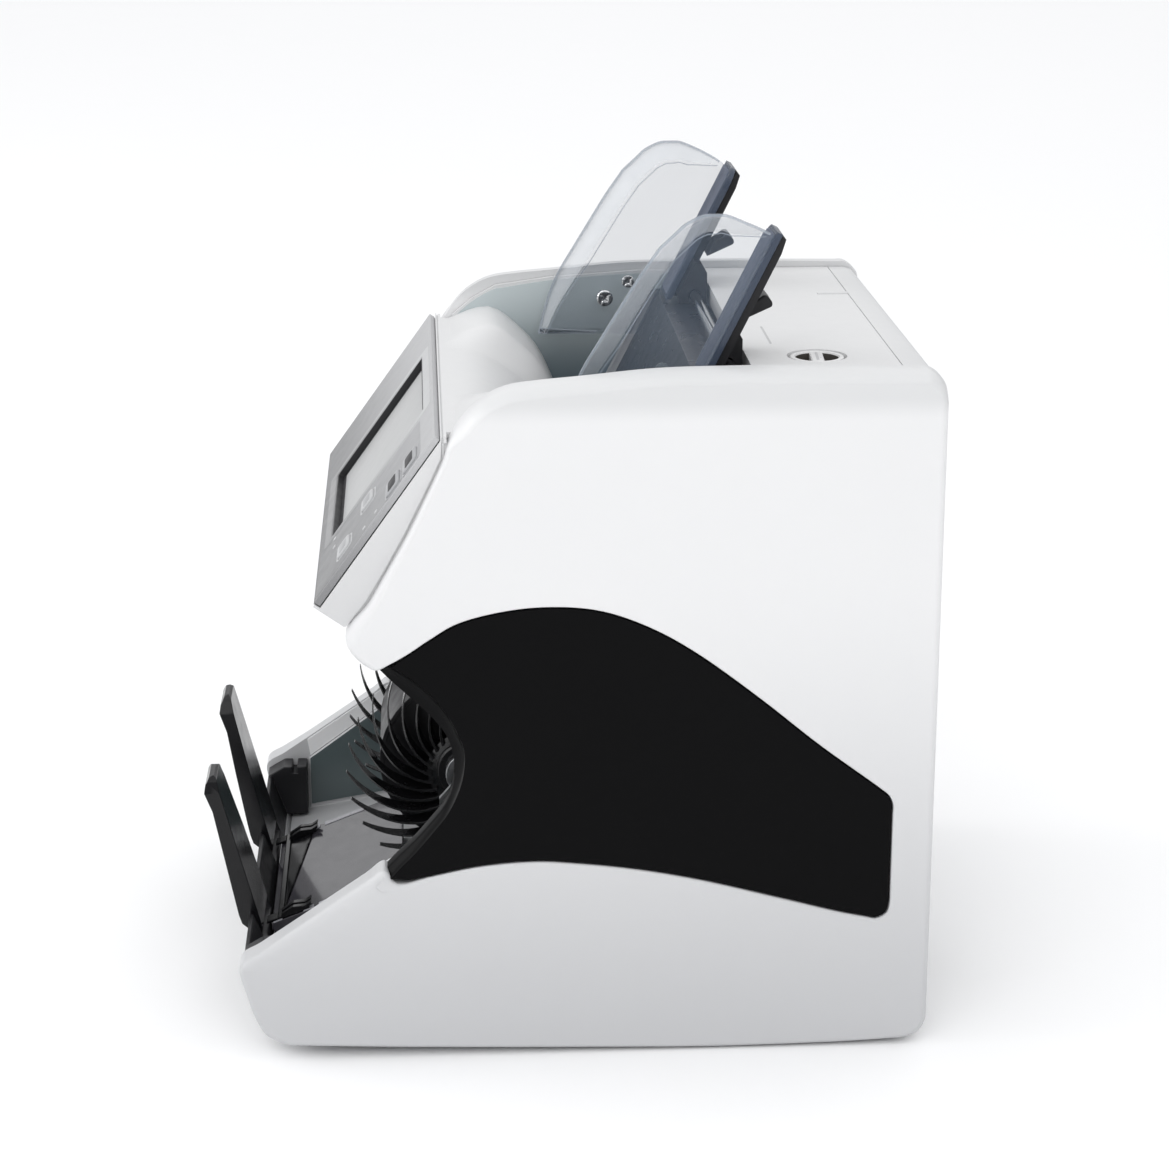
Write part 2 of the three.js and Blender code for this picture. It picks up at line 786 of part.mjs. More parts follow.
// ---------------------------------------------------------------- note guides
{
  const outer = [
    [-1.2, 252],
    [44.0, 252],
    [60.9, 285],
    [82.8, 328.2],
    [79.4, 330.9],
    [69.5, 335.8],
    [62.0, 338.5],
    [54.4, 338.2],
    [46.7, 334.5],
    [37.2, 325.6],
    [29.6, 314.7],
    [22.6, 303.4],
    [14.9, 290.8],
    [7.2, 277.7],
    [2.2, 264.8],
  ];
  const d = [8, 0, 0, 0, 3, 7.6, 8, 8, 8, 8, 8, 8, 8, 8, 8];
  const inner = inset(outer, d).map((p, i) => {
    if (i === 0) return [7.4, 252];
    if (i === 3) return [81.2, 325.0];
    if (i === 4) return [75.6, 324.6];
    return p;
  });
  const tray = stack([
    { x: GUIDE_IN, pts: inner },
    { x: GUIDE_OUT, pts: outer },
  ]);
  const dx = 2.4;
  const hollow = stack([
    { x: GUIDE_IN + dx, pts: inset(inner, 0.9) },
    { x: GUIDE_OUT + dx, pts: inset(outer, 0.9) },
  ]);
  // open the dish towards the rear and the bottom, where it has no border
  const open = stack([
    { x: GUIDE_IN + dx, pts: [[12, 251], [40, 251], [58, 285], [79, 326], [70, 322], [40, 300]] },
    { x: GUIDE_OUT + dx, pts: [[12, 240], [52, 240], [74, 280], [96, 322], [70, 322], [40, 300]] },
  ]);
  const y = (z) => 61.0 + 0.5035 * (z - 285);
  // ribbed flange turned inwards along the leaning rear edge
  const flangeAt = (x) => {
    const drop = x < 76 ? (76 - x) * 0.9 : 0;
    return [
      [y(272.4), 272.4],
      [y(272.4) + 2.5, 272.4],
      [y(330.2 - drop) + 2.5, 330.2 - drop - 1.2],
      [y(330.2 - drop), 330.2 - drop],
    ];
  };
  const flange = stack([
    { x: 68, pts: flangeAt(68) },
    { x: 71, pts: flangeAt(74) },
    { x: 76, pts: flangeAt(80) },
    { x: 94.2, pts: flangeAt(94) },
  ]);
  let ribs = null;
  for (let x = 70.6; x < 91; x += 3.4) {
    const r = side(
      [
        [y(274) - 0.9, 274],
        [y(274) + 1, 274],
        [y(324) + 1, 324],
        [y(324) - 0.9, 324],
      ],
      x,
      x + 1.5,
    );
    ribs = ribs ? ribs.add(r) : r;
  }
  const screwHole = cylX(85, 105, 28.9, 269.1, 1.9, 12);
  const body = cut(union(cut(tray, hollow, open), flange, ribs), screwHole);
  const lowest = body;
  add("side_guide_right", lowest, "clear");
  add("side_guide_left", mirror(lowest), "clear");

  const back = union(
    side(
      [
        [y(273) + 3.6, 273],
        [y(273) + 7.2, 273],
        [y(321) + 6.8, 321],
        [y(326) + 6.0, 326.5],
        [y(327.6) + 3.8, 328.4],
        [y(326) + 3.6, 326],
      ],
      73,
      89.5,
    ),
    side(
      [
        [60.6, 271.2],
        [72.6, 271.2],
        [72.6, 285],
        [70, 289.5],
        [y(290) + 3.6, 290],
        [y(275) + 3.6, 275],
      ],
      63,
      78,
    ),
  );
  const backBored = cut(back, cylX(50, 100, RAIL[0], RAIL[1], RAIL[2] + 0.35, 16));
  add("guide_back_plate_right", backBored, "black");
  add("guide_back_plate_left", mirror(backBored), "black");

  const grip = side(
    [
      [y(292.2) + 7.6, 292.2],
      [84.3, 297.7],
      [84.4, 299.4],
      [82.0, 302.4],
      [80.6, 302.2],
      [y(298.8) + 7.6, 298.8],
    ],
    63.5,
    77,
  );
  add("guide_grip_right", grip, "black");
  add("guide_grip_left", mirror(grip), "black");

  const screw = union(
    cylX(88.6, 91.7, 28.9, 269.1, 3.7, 20),
    cylX(91, 96.5, 28.9, 269.1, 1.5, 12),
  );
  add("guide_screw_right", screw, "chrome");
  add("guide_screw_left", mirror(screw), "chrome");
}

// ---------------------------------------------------------------- stacker stop
{
  const prof = [
    [-125.6, 26.6],
    [-124.9, 31.2],
    [-128.6, 45.5],
    [-134.6, 68.0],
    [-141.2, 93.0],
    [-142.2, 97.6],
    [-143.6, 98.9],
    [-145.4, 98.2],
    [-146.9, 95.4],
    [-147.4, 92.2],
    [-144.2, 84],
    [-139.4, 60],
    [-134.9, 37.4],
    [-133.6, 33.4],
  ];
  // front outline of a finger: straight outer edge, inner edge swelling towards the foot
  const front = [
    [27, 24],
    [63, 24],
    [63, 92],
    [61.4, 97],
    [58, 99.2],
    [46, 99.2],
    [40.5, 97.2],
    [36.6, 91.5],
    [29.8, 66],
    [27, 44],
  ];
  const fs = new THREE.Shape(front.map((p) => new THREE.Vector2(p[0], p[1])));
  const slab = solid(
    new THREE.ExtrudeGeometry(fs, { depth: 60, bevelEnabled: false })
      .rotateX(Math.PI / 2)
      .translate(0, -100, 0),
  );
  const finger = side(prof, 20, 70).intersect(slab);
  add("stop_finger_right", finger, "black");
  add("stop_finger_left", mirror(finger), "black");
  const off = 0.45;
  const strap = side(
    [
      [-119.8, slopeZ(-119.8) + off],
      [-117.4, slopeZ(-117.4) + off],
      [-117.4, slopeZ(-117.4) + off + 0.9],
      [-119.4, slopeZ(-119.4) + off + 1.3],
    ],
    -47.6,
    47.6,
  );
  const toe = (x0, x1) =>
    side(
      [
        [-124.4, slopeZ(-124.4) + off],
        [-118.4, slopeZ(-118.4) + off],
        [-118.4, slopeZ(-118.4) + off + 0.9],
        [-124.4, slopeZ(-124.4) + off + 1.2],
      ],
      x0,
      x1,
    );
  const claw = (x0, x1) =>
    side(
      [
        [-118, slopeZ(-118) + off],
        [-106, slopeZ(-106) + off],
        [-105, slopeZ(-105) + off + 2.8],
        [-108, slopeZ(-108) + off + 2.0],
        [-113, slopeZ(-113) + off + 3.4],
        [-118, slopeZ(-118) + off + 1.8],
      ],
      x0,
      x1,
    );
  add(
    "stop_carriage",
    union(
      strap,
      toe(41, 47.6),
      toe(-47.6, -41),
      claw(40, 43),
      claw(-43, -40),
      claw(45, 47.6),
      claw(-47.6, -45),
    ),
    "black",
  );
}

// ---------------------------------------------------------------- stacker wheels
{
  const [sy, sz] = STACK;
  const N = 24;
  const vane = (a0) => {
    const L = [];
    const R = [];
    const n = 6;
    for (let i = 0; i <= n; i++) {
      const t = i / n;
      const r = 15.5 + (STACK_R - 15.5) * t;
      const a = a0 - ((54 * t + 6 * t * t) * Math.PI) / 180;
      const w = 0.95 - 0.5 * t;
      const c = [r * Math.cos(a), r * Math.sin(a)];
      const t2 = t + 0.01;
      const r2 = 15.5 + (STACK_R - 15.5) * t2;
      const a2 = a0 - ((54 * t2 + 6 * t2 * t2) * Math.PI) / 180;
      const d = [r2 * Math.cos(a2) - c[0], r2 * Math.sin(a2) - c[1]];
      const l = Math.hypot(d[0], d[1]);
      L.push([sy + c[0] - (d[1] / l) * w, sz + c[1] + (d[0] / l) * w]);
      R.push([sy + c[0] + (d[1] / l) * w, sz + c[1] - (d[0] / l) * w]);
    }
    return [...R, ...L.reverse()];
  };
  const wheel = (x0, x1, phase) => {
    let w = cylX(x0, x1, sy, sz, 18, 26);
    for (let i = 0; i < N; i++)
      w = w.add(side(vane(phase + (i / N) * Math.PI * 2), x0 + 0.5, x1 - 0.5));
    return cut(w, cylX(x0 - 2, x1 + 2, sy, sz, SHAFT_R + 0.3, 20));
  };
  add("stacker_wheel_right", wheel(30, 42, 0.1), "rubber");
  add("stacker_wheel_left", wheel(-42, -30, 0.35), "rubber");
  add(
    "stacker_shaft",
    union(
      cylX(-109.6, 107, sy, sz, SHAFT_R, 20),
      cylX(-109.6, -105.2, sy, sz, 11, 24),
      cylX(-29.6, 29.6, sy, sz, 9, 20),
      cylX(42.4, 46, sy, sz, 9, 20),
      cylX(-46, -42.4, sy, sz, 9, 20),
    ),
    "steel",
  );
  // curved chute behind the wheels, and a slotted drum cover round the shaft that the vanes reach through
  const polar = (r, deg) => [
    sy + r * Math.cos((deg * Math.PI) / 180),
    sz + r * Math.sin((deg * Math.PI) / 180),
  ];
  const band = (r0, r1, a0, a1, n, x0, x1) => {
    const o = [];
    const i_ = [];
    for (let i = 0; i <= n; i++) {
      const t = a0 + ((a1 - a0) * i) / n;
      o.push(polar(r1, t));
      i_.push(polar(r0, t));
    }
    return side([...o, ...i_.reverse()], x0, x1);
  };
  const drum = (x0, x1) =>
    union(
      band(35, 37, 98, 264, 22, x0, x1),
      band(35, 54, 98, 100.5, 1, x0, x1),
      band(35, 54, 261.5, 264, 1, x0, x1),
    );
  add(
    "stacker_chute",
    union(band(53, 55.6, -96, 100.5, 18, -101, 101), drum(-27.5, 27.5)),
    "black",
  );
}

// ---------------------------------------------------------------- feed train
{
  const roller = ([y, z], r, x0, x1, pr, px0, px1, reach) =>
    union(
      cylX(-reach, reach, y, z, SHAFT_R, 16),
      cylX(x0, x1, y, z, r, 28),
      cylX(-x1, -x0, y, z, r, 28),
      cylX(px0, px1, y, z, pr, 20),
    );
  add("feed_roller", roller(FEED, FEED_R, 16, 40, 9, 105.2, 109.4, 109.4), "grey_rubber");
  add("pickup_roller", roller(PICK, PICK_R, 20, 35, 6.4, 105.2, 109.4, 109.4), "grey_rubber");
  add(
    "transport_roller",
    union(
      roller(TRANS, TRANS_R, 12, 60, 9, 105.2, 109.4, 109.4),
      cylX(-109.4, -105.2, TRANS[0], TRANS[1], 9, 20),
    ),
    "grey_rubber",
  );
  add(
    "retard_roller",
    union(
      cylX(-101.6, 101.6, RETARD[0], RETARD[1], SHAFT_R, 16),
      cylX(-44, 44, RETARD[0], RETARD[1], 11, 28),
    ),
    "grey_rubber",
  );
  const belt = (c, x0, x1) => cut(side(hull(c, 1.7), x0, x1), side(hull(c, 0.35), x0 - 1, x1 + 1));
  add(
    "drive_belt",
    belt([[...MOTOR, 9], [...STACK, 11], [...TRANS, 9]], -109, -105.6),
    "rubber",
  );
  add(
    "feed_belt",
    belt([[...TRANS, 9], [...FEED, 9], [...PICK, 6.4]], 105.6, 109),
    "rubber",
  );
  add(
    "motor_pulley",
    union(
      cylX(-109.4, -105.2, MOTOR[0], MOTOR[1], 9, 20),
      cylX(-107, -99.7, MOTOR[0], MOTOR[1], 3, 16),
    ),
    "steel",
  );
  add(
    "drive_motor",
    union(
      cylX(-99.4, -44, MOTOR[0], MOTOR[1], 25, 32),
      cylX(-44.2, -40, MOTOR[0], MOTOR[1], 9, 20),
      box(-80, -60, MOTOR[0] - 8, MOTOR[0] + 8, MOTOR[1] + 22, MOTOR[1] + 30),
    ),
    "casting",
  );
  add("image_sensor_upper", cut(box(-98, 98, -16, -3, 169, 182), box(-90, 90, -7, 0, 173, 178)), "black");
  add("image_sensor_lower", cut(box(-98, 98, 15, 28, 158, 171), box(-90, 90, 10, 18, 162, 167)), "black");
}

// ---------------------------------------------------------------- frame, drive, electrics
{
  const p = [
    [-50, 15],
    [122, 15],
    [122, 232],
    [50, 240],
    [44.6, 240],
    [30.6, 212],
    [16, 207.5],
    [-18, 205],
    [-20, 172],
    [-30, 150],
    [-36, 120],
    [-50, 104],
  ];
  const hole = ([y, z], r) => cylX(90, 120, y, z, r, 20);
  const common = cut(
    side(p, 102, 104.4),
    hole(STACK, SHAFT_R + 0.4),
    hole(FEED, SHAFT_R + 0.4),
    hole(PICK, SHAFT_R + 0.4),
    hole(TRANS, SHAFT_R + 0.4),
    side([[60, 110], [112, 110], [112, 178], [80, 178]], 90, 120),
  );
  add("frame_plate_right", common, "steel");
  add("frame_plate_left", cut(mirror(common), cylX(-120, -90, MOTOR[0], MOTOR[1], 3.6, 16)), "steel");
  add("tie_rod_upper", cylX(-101.6, 101.6, 108, 205, 4, 16), "steel");
  add("tie_rod_lower", cylX(-101.6, 101.6, 26, 26, 4, 16), "steel");
  add(
    "main_board",
    union(
      box(-85, 85, 62, 118, 128, 129.8),
      box(-60, -38, 76, 98, 129.5, 133),
      box(-10, 20, 70, 90, 129.5, 132.4),
      box(40, 70, 96, 112, 129.5, 141),
      box(-82, -70, 100, 114, 129.5, 139),
    ),
    "board",
  );
  add("power_supply", box(-30, 92, 44, 118, 14, 56), "steel");
  add(
    "power_inlet",
    cut(
      union(box(36.5, 63.5, 124, 141.0, 22.5, 45.5), box(33, 67, 143.0, 145.1, 19.5, 48.5), box(37, 63, 140, 143.8, 23, 45)),
      box(39.5, 60.5, 132, 151, 25.5, 42.5),
    ),
    "black",
  );
  add(
    "power_switch",
    side([[135.7, 25.2], [142.9, 25.2], [146.2, 26.2], [144.2, 34], [143.3, 42.8], [135.7, 42.8]], 75, 95),
    "black",
  );
}

// ---------------------------------------------------------------- rear cover
{
  const o = [
    [DOOR_Y0, DECK_Z],
    [139.8, DECK_Z],
    [143.4, 277.5],
    [145.6, 275.1],
    [146.4, 271.6],
    [146.4, 67.2],
    [143.9, 67.2],
    [143.9, 271.0],
    [143.2, 273.6],
    [141.6, 275.2],
    [139.4, 276.0],
    [DOOR_Y0, 276.0],
  ];
  const shell = side(o, -COVER_HALF, COVER_HALF);
  const seg = (x0, x1) =>
    cut(
      union(
        cylX(x0, x1, DOOR_HINGE[0], DOOR_HINGE[1], 3.2, 20),
        box(x0, x1, 143.3, 145.9, DOOR_HINGE[1], 68),
      ),
      cylX(x0 - 1, x1 + 1, DOOR_HINGE[0], DOOR_HINGE[1], 1.9, 16),
    );
  let door = union(shell, seg(-100, -70), seg(-20, 20), seg(70, 100));
  // ventilation slots and a finger recess
  for (let i = 0; i < 6; i++)
    door = cut(door, box(-40, 40, 141, 151, 92 + i * 9, 96 + i * 9));
  add("rear_cover", door, "shell");
  add("rear_hinge_pin", cylX(-110.0, 110.0, DOOR_HINGE[0], DOOR_HINGE[1], 1.5, 12), "steel");
}

export default group;
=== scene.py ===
import json
import math
import bpy
import bmesh
from mathutils import Vector, Matrix

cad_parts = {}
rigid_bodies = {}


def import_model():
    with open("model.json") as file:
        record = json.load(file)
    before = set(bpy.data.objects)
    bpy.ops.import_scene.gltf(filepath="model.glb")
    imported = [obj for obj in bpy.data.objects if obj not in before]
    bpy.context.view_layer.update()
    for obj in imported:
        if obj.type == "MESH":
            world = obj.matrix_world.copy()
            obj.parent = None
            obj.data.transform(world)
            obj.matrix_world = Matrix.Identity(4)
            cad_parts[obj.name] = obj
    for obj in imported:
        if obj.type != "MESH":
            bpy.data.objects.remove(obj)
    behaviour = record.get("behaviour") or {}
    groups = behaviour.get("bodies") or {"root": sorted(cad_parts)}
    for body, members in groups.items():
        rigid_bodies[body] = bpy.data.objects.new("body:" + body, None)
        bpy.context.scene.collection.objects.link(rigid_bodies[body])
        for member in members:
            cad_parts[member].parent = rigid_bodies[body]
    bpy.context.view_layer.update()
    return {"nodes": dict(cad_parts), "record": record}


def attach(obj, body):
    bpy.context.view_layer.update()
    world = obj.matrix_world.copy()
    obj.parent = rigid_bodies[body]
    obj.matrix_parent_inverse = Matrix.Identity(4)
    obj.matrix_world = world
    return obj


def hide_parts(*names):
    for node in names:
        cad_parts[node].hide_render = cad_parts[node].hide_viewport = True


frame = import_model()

MM = 0.001
NODES = frame["nodes"]
scene = bpy.context.scene

# ------------------------------------------------------------------ camera, light, stage
AZ, EL = math.radians(86.65), math.radians(16.8)
cam_data = bpy.data.cameras.new("camera")
cam = bpy.data.objects.new("camera", cam_data)
scene.collection.objects.link(cam)
back = Vector((math.sin(AZ) * math.cos(EL), -math.cos(AZ) * math.cos(EL), math.sin(EL)))
right = Vector((math.cos(AZ), math.sin(AZ), 0.0))
up = back.cross(right)
rot = Matrix((right, up, back)).transposed()
cam.matrix_world = Matrix.Translation((1.178267, -0.054415, 0.519369)) @ rot.to_4x4()
cam_data.sensor_fit = "HORIZONTAL"
cam_data.sensor_width = 36.0
cam_data.lens = 2852.0 / 1169.0 * 36.0
cam_data.clip_start = 0.05
cam_data.clip_end = 60.0
scene.camera = cam

world = bpy.data.worlds.new("studio")
scene.world = world
world.use_nodes = True
wn = world.node_tree
wn.nodes["Background"].inputs["Color"].default_value = (0.97, 0.98, 1.0, 1.0)
wn.nodes["Background"].inputs["Strength"].default_value = 0.50
scene.view_settings.view_transform = "Standard"


def area_light(name, at, aim, size, power, tint=(1, 1, 1)):
    d = bpy.data.lights.new(name, "AREA")
    d.shape = "RECTANGLE"
    d.size, d.size_y = size
    d.energy = power
    d.color = tint
    o = bpy.data.objects.new(name, d)
    scene.collection.objects.link(o)
    o.location = at
    o.rotation_euler = (Vector(aim) - Vector(at)).to_track_quat("-Z", "Y").to_euler()
    return o


area_light("sky_light", (-3.8, 0.0, 3.0), (-3.8, 0, 0), (16.4, 11.0), 338)
area_light("key_light", (1.9, -1.0, 2.3), (0, 0, 0.24), (1.2, 1.2), 9)
area_light("side_light", (0.98, 0.05, 0.62), (0.125, 0.0, 0.24), (0.6, 0.3), 2.0)
area_light("front_light", (-0.3, -2.4, 1.3), (0, 0, 0.15), (1.6, 1.2), 14)
for o in scene.objects:
    if o.type == "LIGHT":
        o.visible_camera = False
bpy.data.objects["side_light"].visible_glossy = False

# ------------------------------------------------------------------ materials
MATS = {}


def material(name, color, rough, metallic=0.0, vary=0.04, rough_vary=0.06, grain=2600.0, bump=0.05,
             specular=0.5, coat=0.0, coat_rough=0.1, transmission=0.0, ior=1.45, alpha=None,
             tint=None, stretch=None, subsurface=0.0, sheen=0.0, cloud=14.0, deep=0.00012, low_shade=None, low_shade_span=(0.0, 0.21), rim_shade=None):
    """Procedural plastic, rubber or metal: broad colour cloud, roughness mottle and a moulded micro texture, with
    optional painted shade towards the bottom and on the upper rim.
    """
    m = bpy.data.materials.new(name)
    m.use_nodes = True
    nt = m.node_tree
    p = nt.nodes["Principled BSDF"]
    tc = nt.nodes.new("ShaderNodeTexCoord")
    mp = nt.nodes.new("ShaderNodeMapping")
    nt.links.new(tc.outputs["Object"], mp.inputs["Vector"])
    if stretch:
        mp.inputs["Scale"].default_value = stretch
    big = nt.nodes.new("ShaderNodeTexNoise")
    big.inputs["Scale"].default_value = cloud
    big.inputs["Detail"].default_value = 4.0
    nt.links.new(tc.outputs["Object"], big.inputs["Vector"])
    mix = nt.nodes.new("ShaderNodeMix")
    mix.data_type = "RGBA"
    a = tuple(max(0.0, c * (1 - vary)) for c in color)
    b = tuple(min(1.0, c * (1 + vary)) for c in (tint or color))
    mix.inputs["A"].default_value = (*a, 1)
    mix.inputs["B"].default_value = (*b, 1)
    nt.links.new(big.outputs["Fac"], mix.inputs["Factor"])
    out = mix.outputs["Result"]
    if low_shade:
        # painted shade: the colour darkens towards the bottom of the part, standing in for the shade that falls there
        sep = nt.nodes.new("ShaderNodeSeparateXYZ")
        nt.links.new(tc.outputs["Object"], sep.inputs["Vector"])
        zr = nt.nodes.new("ShaderNodeMapRange")
        zr.interpolation_type = "SMOOTHSTEP"
        zr.inputs["From Min"].default_value = low_shade_span[0]
        zr.inputs["From Max"].default_value = low_shade_span[1]
        zr.inputs["To Min"].default_value = 1.0
        zr.inputs["To Max"].default_value = 0.0
        nt.links.new(sep.outputs["Z"], zr.inputs["Value"])
        low_shade_mix = nt.nodes.new("ShaderNodeMix")
        low_shade_mix.data_type = "RGBA"
        nt.links.new(out, low_shade_mix.inputs["A"])
        low_shade_mix.inputs["B"].default_value = (*low_shade, 1)
        nt.links.new(zr.outputs["Result"], low_shade_mix.inputs["Factor"])
        out = low_shade_mix.outputs["Result"]
    if rim_shade:
        # painted shade: the upper rim is made a little greyer than the walls, standing in for how the light falls on
        # it
        sep = nt.nodes.new("ShaderNodeSeparateXYZ")
        nt.links.new(tc.outputs["Object"], sep.inputs["Vector"])
        zr = nt.nodes.new("ShaderNodeMapRange")
        zr.interpolation_type = "SMOOTHSTEP"
        zr.inputs["From Min"].default_value = 0.262
        zr.inputs["From Max"].default_value = 0.272
        zr.inputs["To Min"].default_value = 0.0
        zr.inputs["To Max"].default_value = 1.0
        nt.links.new(sep.outputs["Z"], zr.inputs["Value"])
        rim_shade_mix = nt.nodes.new("ShaderNodeMix")
        rim_shade_mix.data_type = "RGBA"
        nt.links.new(out, rim_shade_mix.inputs["A"])
        rim_shade_mix.inputs["B"].default_value = (*rim_shade, 1)
        nt.links.new(zr.outputs["Result"], rim_shade_mix.inputs["Factor"])
        out = rim_shade_mix.outputs["Result"]
    nt.links.new(out, p.inputs["Base Color"])
    fine = nt.nodes.new("ShaderNodeTexNoise")
    fine.inputs["Scale"].default_value = grain
    fine.inputs["Detail"].default_value = 3.0
    fine.inputs["Roughness"].default_value = 0.6
    nt.links.new(mp.outputs["Vector"], fine.inputs["Vector"])
    mid = nt.nodes.new("ShaderNodeTexNoise")
    mid.inputs["Scale"].default_value = 130.0
    mid.inputs["Detail"].default_value = 5.0
    nt.links.new(mp.outputs["Vector"], mid.inputs["Vector"])
    mr = nt.nodes.new("ShaderNodeMapRange")
    mr.inputs["From Min"].default_value = 0.3
    mr.inputs["From Max"].default_value = 0.7
    mr.inputs["To Min"].default_value = max(0.01, rough - rough_vary)
    mr.inputs["To Max"].default_value = min(1.0, rough + rough_vary)
    nt.links.new(mid.outputs["Fac"], mr.inputs["Value"])
    nt.links.new(mr.outputs["Result"], p.inputs["Roughness"])
    if bump > 0:
        bn = nt.nodes.new("ShaderNodeBump")
        bn.inputs["Strength"].default_value = bump
        bn.inputs["Distance"].default_value = deep
        nt.links.new(fine.outputs["Fac"], bn.inputs["Height"])
        nt.links.new(bn.outputs["Normal"], p.inputs["Normal"])
    p.inputs["Metallic"].default_value = metallic
    p.inputs["Specular IOR Level"].default_value = specular
    p.inputs["IOR"].default_value = ior
    p.inputs["Coat Weight"].default_value = coat
    p.inputs["Coat Roughness"].default_value = coat_rough
    p.inputs["Transmission Weight"].default_value = transmission
    if sheen:
        p.inputs["Sheen Weight"].default_value = sheen
    if alpha is not None:
        p.inputs["Alpha"].default_value = alpha
    MATS[name] = m
    return m


# painted shade: shell_white darkens towards the bottom and greys along its upper rim
material("shell_white", (0.755, 0.757, 0.762), 0.36, vary=0.008, rough_vary=0.04, bump=0.10, specular=0.45, tint=(0.765, 0.765, 0.768), low_shade=(0.53, 0.534, 0.545), rim_shade=(0.66, 0.664, 0.668))
# painted shade: head_white darkens towards the bottom of the head
material("head_white", (0.675, 0.677, 0.68), 0.38, vary=0.01, rough_vary=0.04, bump=0.10, specular=0.42, low_shade=(0.60, 0.602, 0.607), low_shade_span=(0.16, 0.25))
material("inlay_black", (0.0025, 0.0025, 0.0028), 0.30, vary=0.15, rough_vary=0.015, bump=0.015, specular=0.075)
material("inlay_edge", (0.035, 0.036, 0.038), 0.35, vary=0.1, rough_vary=0.04, bump=0.03, specular=0.4)
# painted shade: panel_grey darkens towards the lower edge of the panel
material("panel_grey", (0.48, 0.482, 0.49), 0.48, vary=0.02, rough_vary=0.05, bump=0.16, grain=1800, specular=0.35, low_shade=(0.24, 0.24, 0.245), low_shade_span=(0.188, 0.262))
material("print_light", (0.70, 0.70, 0.71), 0.5, vary=0.03, bump=0.05, specular=0.3)
material("print_dark", (0.03, 0.03, 0.032), 0.45, vary=0.1, bump=0.05, specular=0.3)
material("screen_glass", (0.50, 0.505, 0.505), 0.42, vary=0.02, rough_vary=0.04, bump=0.02, specular=0.35)
material("key_silver", (0.36, 0.365, 0.375), 0.34, vary=0.03, rough_vary=0.05, bump=0.08, specular=0.5)
material("knob_silver", (0.70, 0.70, 0.70), 0.30, vary=0.02, rough_vary=0.05, bump=0.06, specular=0.5)
material("black_plastic", (0.016, 0.016, 0.018), 0.42, vary=0.12, rough_vary=0.07, bump=0.22, grain=1500, specular=0.4)
material("stop_black", (0.006, 0.006, 0.007), 0.20, vary=0.12, rough_vary=0.05, bump=0.04, specular=0.34)
material("smoked_clear", (0.040, 0.038, 0.046), 0.16, vary=0.08, rough_vary=0.04, bump=0.02, specular=0.5, coat=0.3, coat_rough=0.06)
material("guide_clear", (0.15, 0.195, 0.26), 0.06, vary=0.02, rough_vary=0.02, bump=0.0, specular=0.5, alpha=0.152)
# painted sheen for the guides' flared border
material("guide_border_sheen", (0.93, 0.95, 0.97), 0.35, vary=0.02, rough_vary=0.05, bump=0.0, specular=0.5, alpha=0.22)
# painted highlight for the guides' rolled edge and crease
material("guide_edge_glint", (0.46, 0.51, 0.57), 0.15, vary=0.04, rough_vary=0.03, bump=0.0, specular=0.6, alpha=0.42)
# painted shade for the floor of the knob's wells
material("knob_well_shade", (0.055, 0.05, 0.045), 0.5, vary=0.1, bump=0.05, specular=0.3)
material("guide_flange", (0.052, 0.070, 0.108), 0.14, vary=0.05, rough_vary=0.03, bump=0.0, specular=0.6, alpha=0.80)
material("liner_teal", (0.105, 0.135, 0.14), 0.20, vary=0.05, rough_vary=0.04, bump=0.02, specular=0.5, coat=0.3, coat_rough=0.05)
material("hopper_dark", (0.030, 0.033, 0.042), 0.30, vary=0.08, rough_vary=0.05, bump=0.04, specular=0.5)
material("chrome", (0.74, 0.75, 0.76), 0.10, metallic=1.0, vary=0.02, rough_vary=0.03, bump=0.02)
material("steel", (0.46, 0.47, 0.48), 0.34, metallic=1.0, vary=0.05, rough_vary=0.08, bump=0.15, grain=900, stretch=(0.08, 1, 1))
material("motor_casting", (0.16, 0.165, 0.17), 0.45, metallic=0.4, vary=0.08, rough_vary=0.08, bump=0.25, grain=1200)
material("vane_rubber", (0.008, 0.008, 0.009), 0.24, vary=0.15, rough_vary=0.06, bump=0.06, grain=1600, specular=0.6, coat=0.4, coat_rough=0.12)
material("roller_rubber", (0.13, 0.13, 0.14), 0.75, vary=0.08, rough_vary=0.08, bump=0.4, grain=1400, specular=0.3)
material("foot_rubber", (0.018, 0.018, 0.018), 0.8, vary=0.15, rough_vary=0.08, bump=0.4, grain=1400, specular=0.3)
material("circuit_board", (0.018, 0.11, 0.05), 0.4, vary=0.12, rough_vary=0.06, bump=0.1)
# painted shade: print_field and print_keys darken towards the lower edge of the panel
material("print_field", (0.54, 0.545, 0.55), 0.45, vary=0.02, bump=0.12, grain=1800, specular=0.35, low_shade=(0.30, 0.30, 0.305), low_shade_span=(0.188, 0.262))
material("print_keys", (0.40, 0.402, 0.41), 0.45, vary=0.02, bump=0.12, grain=1800, specular=0.35, low_shade=(0.24, 0.24, 0.245), low_shade_span=(0.188, 0.262))
material("key_pale", (0.50, 0.505, 0.51), 0.38, vary=0.02, bump=0.06, specular=0.45)
# painted shade: teal-grey sheet for the hopper's shaded inner walls, darker towards the bottom
material("cheek_shade_teal", (0.56, 0.62, 0.63), 0.22, vary=0.04, rough_vary=0.04, bump=0.02, specular=0.5, low_shade=(0.12, 0.155, 0.175), low_shade_span=(0.226, 0.273))
# painted highlight for the flange ribs
material("rib_highlight", (0.20, 0.225, 0.29), 0.2, vary=0.05, rough_vary=0.03, bump=0.0, specular=0.6, alpha=0.75)
# painted reflection for the edge of the pocket floor
material("floor_edge_glint", (0.42, 0.42, 0.45), 0.3, vary=0.04, bump=0.03, specular=0.5)
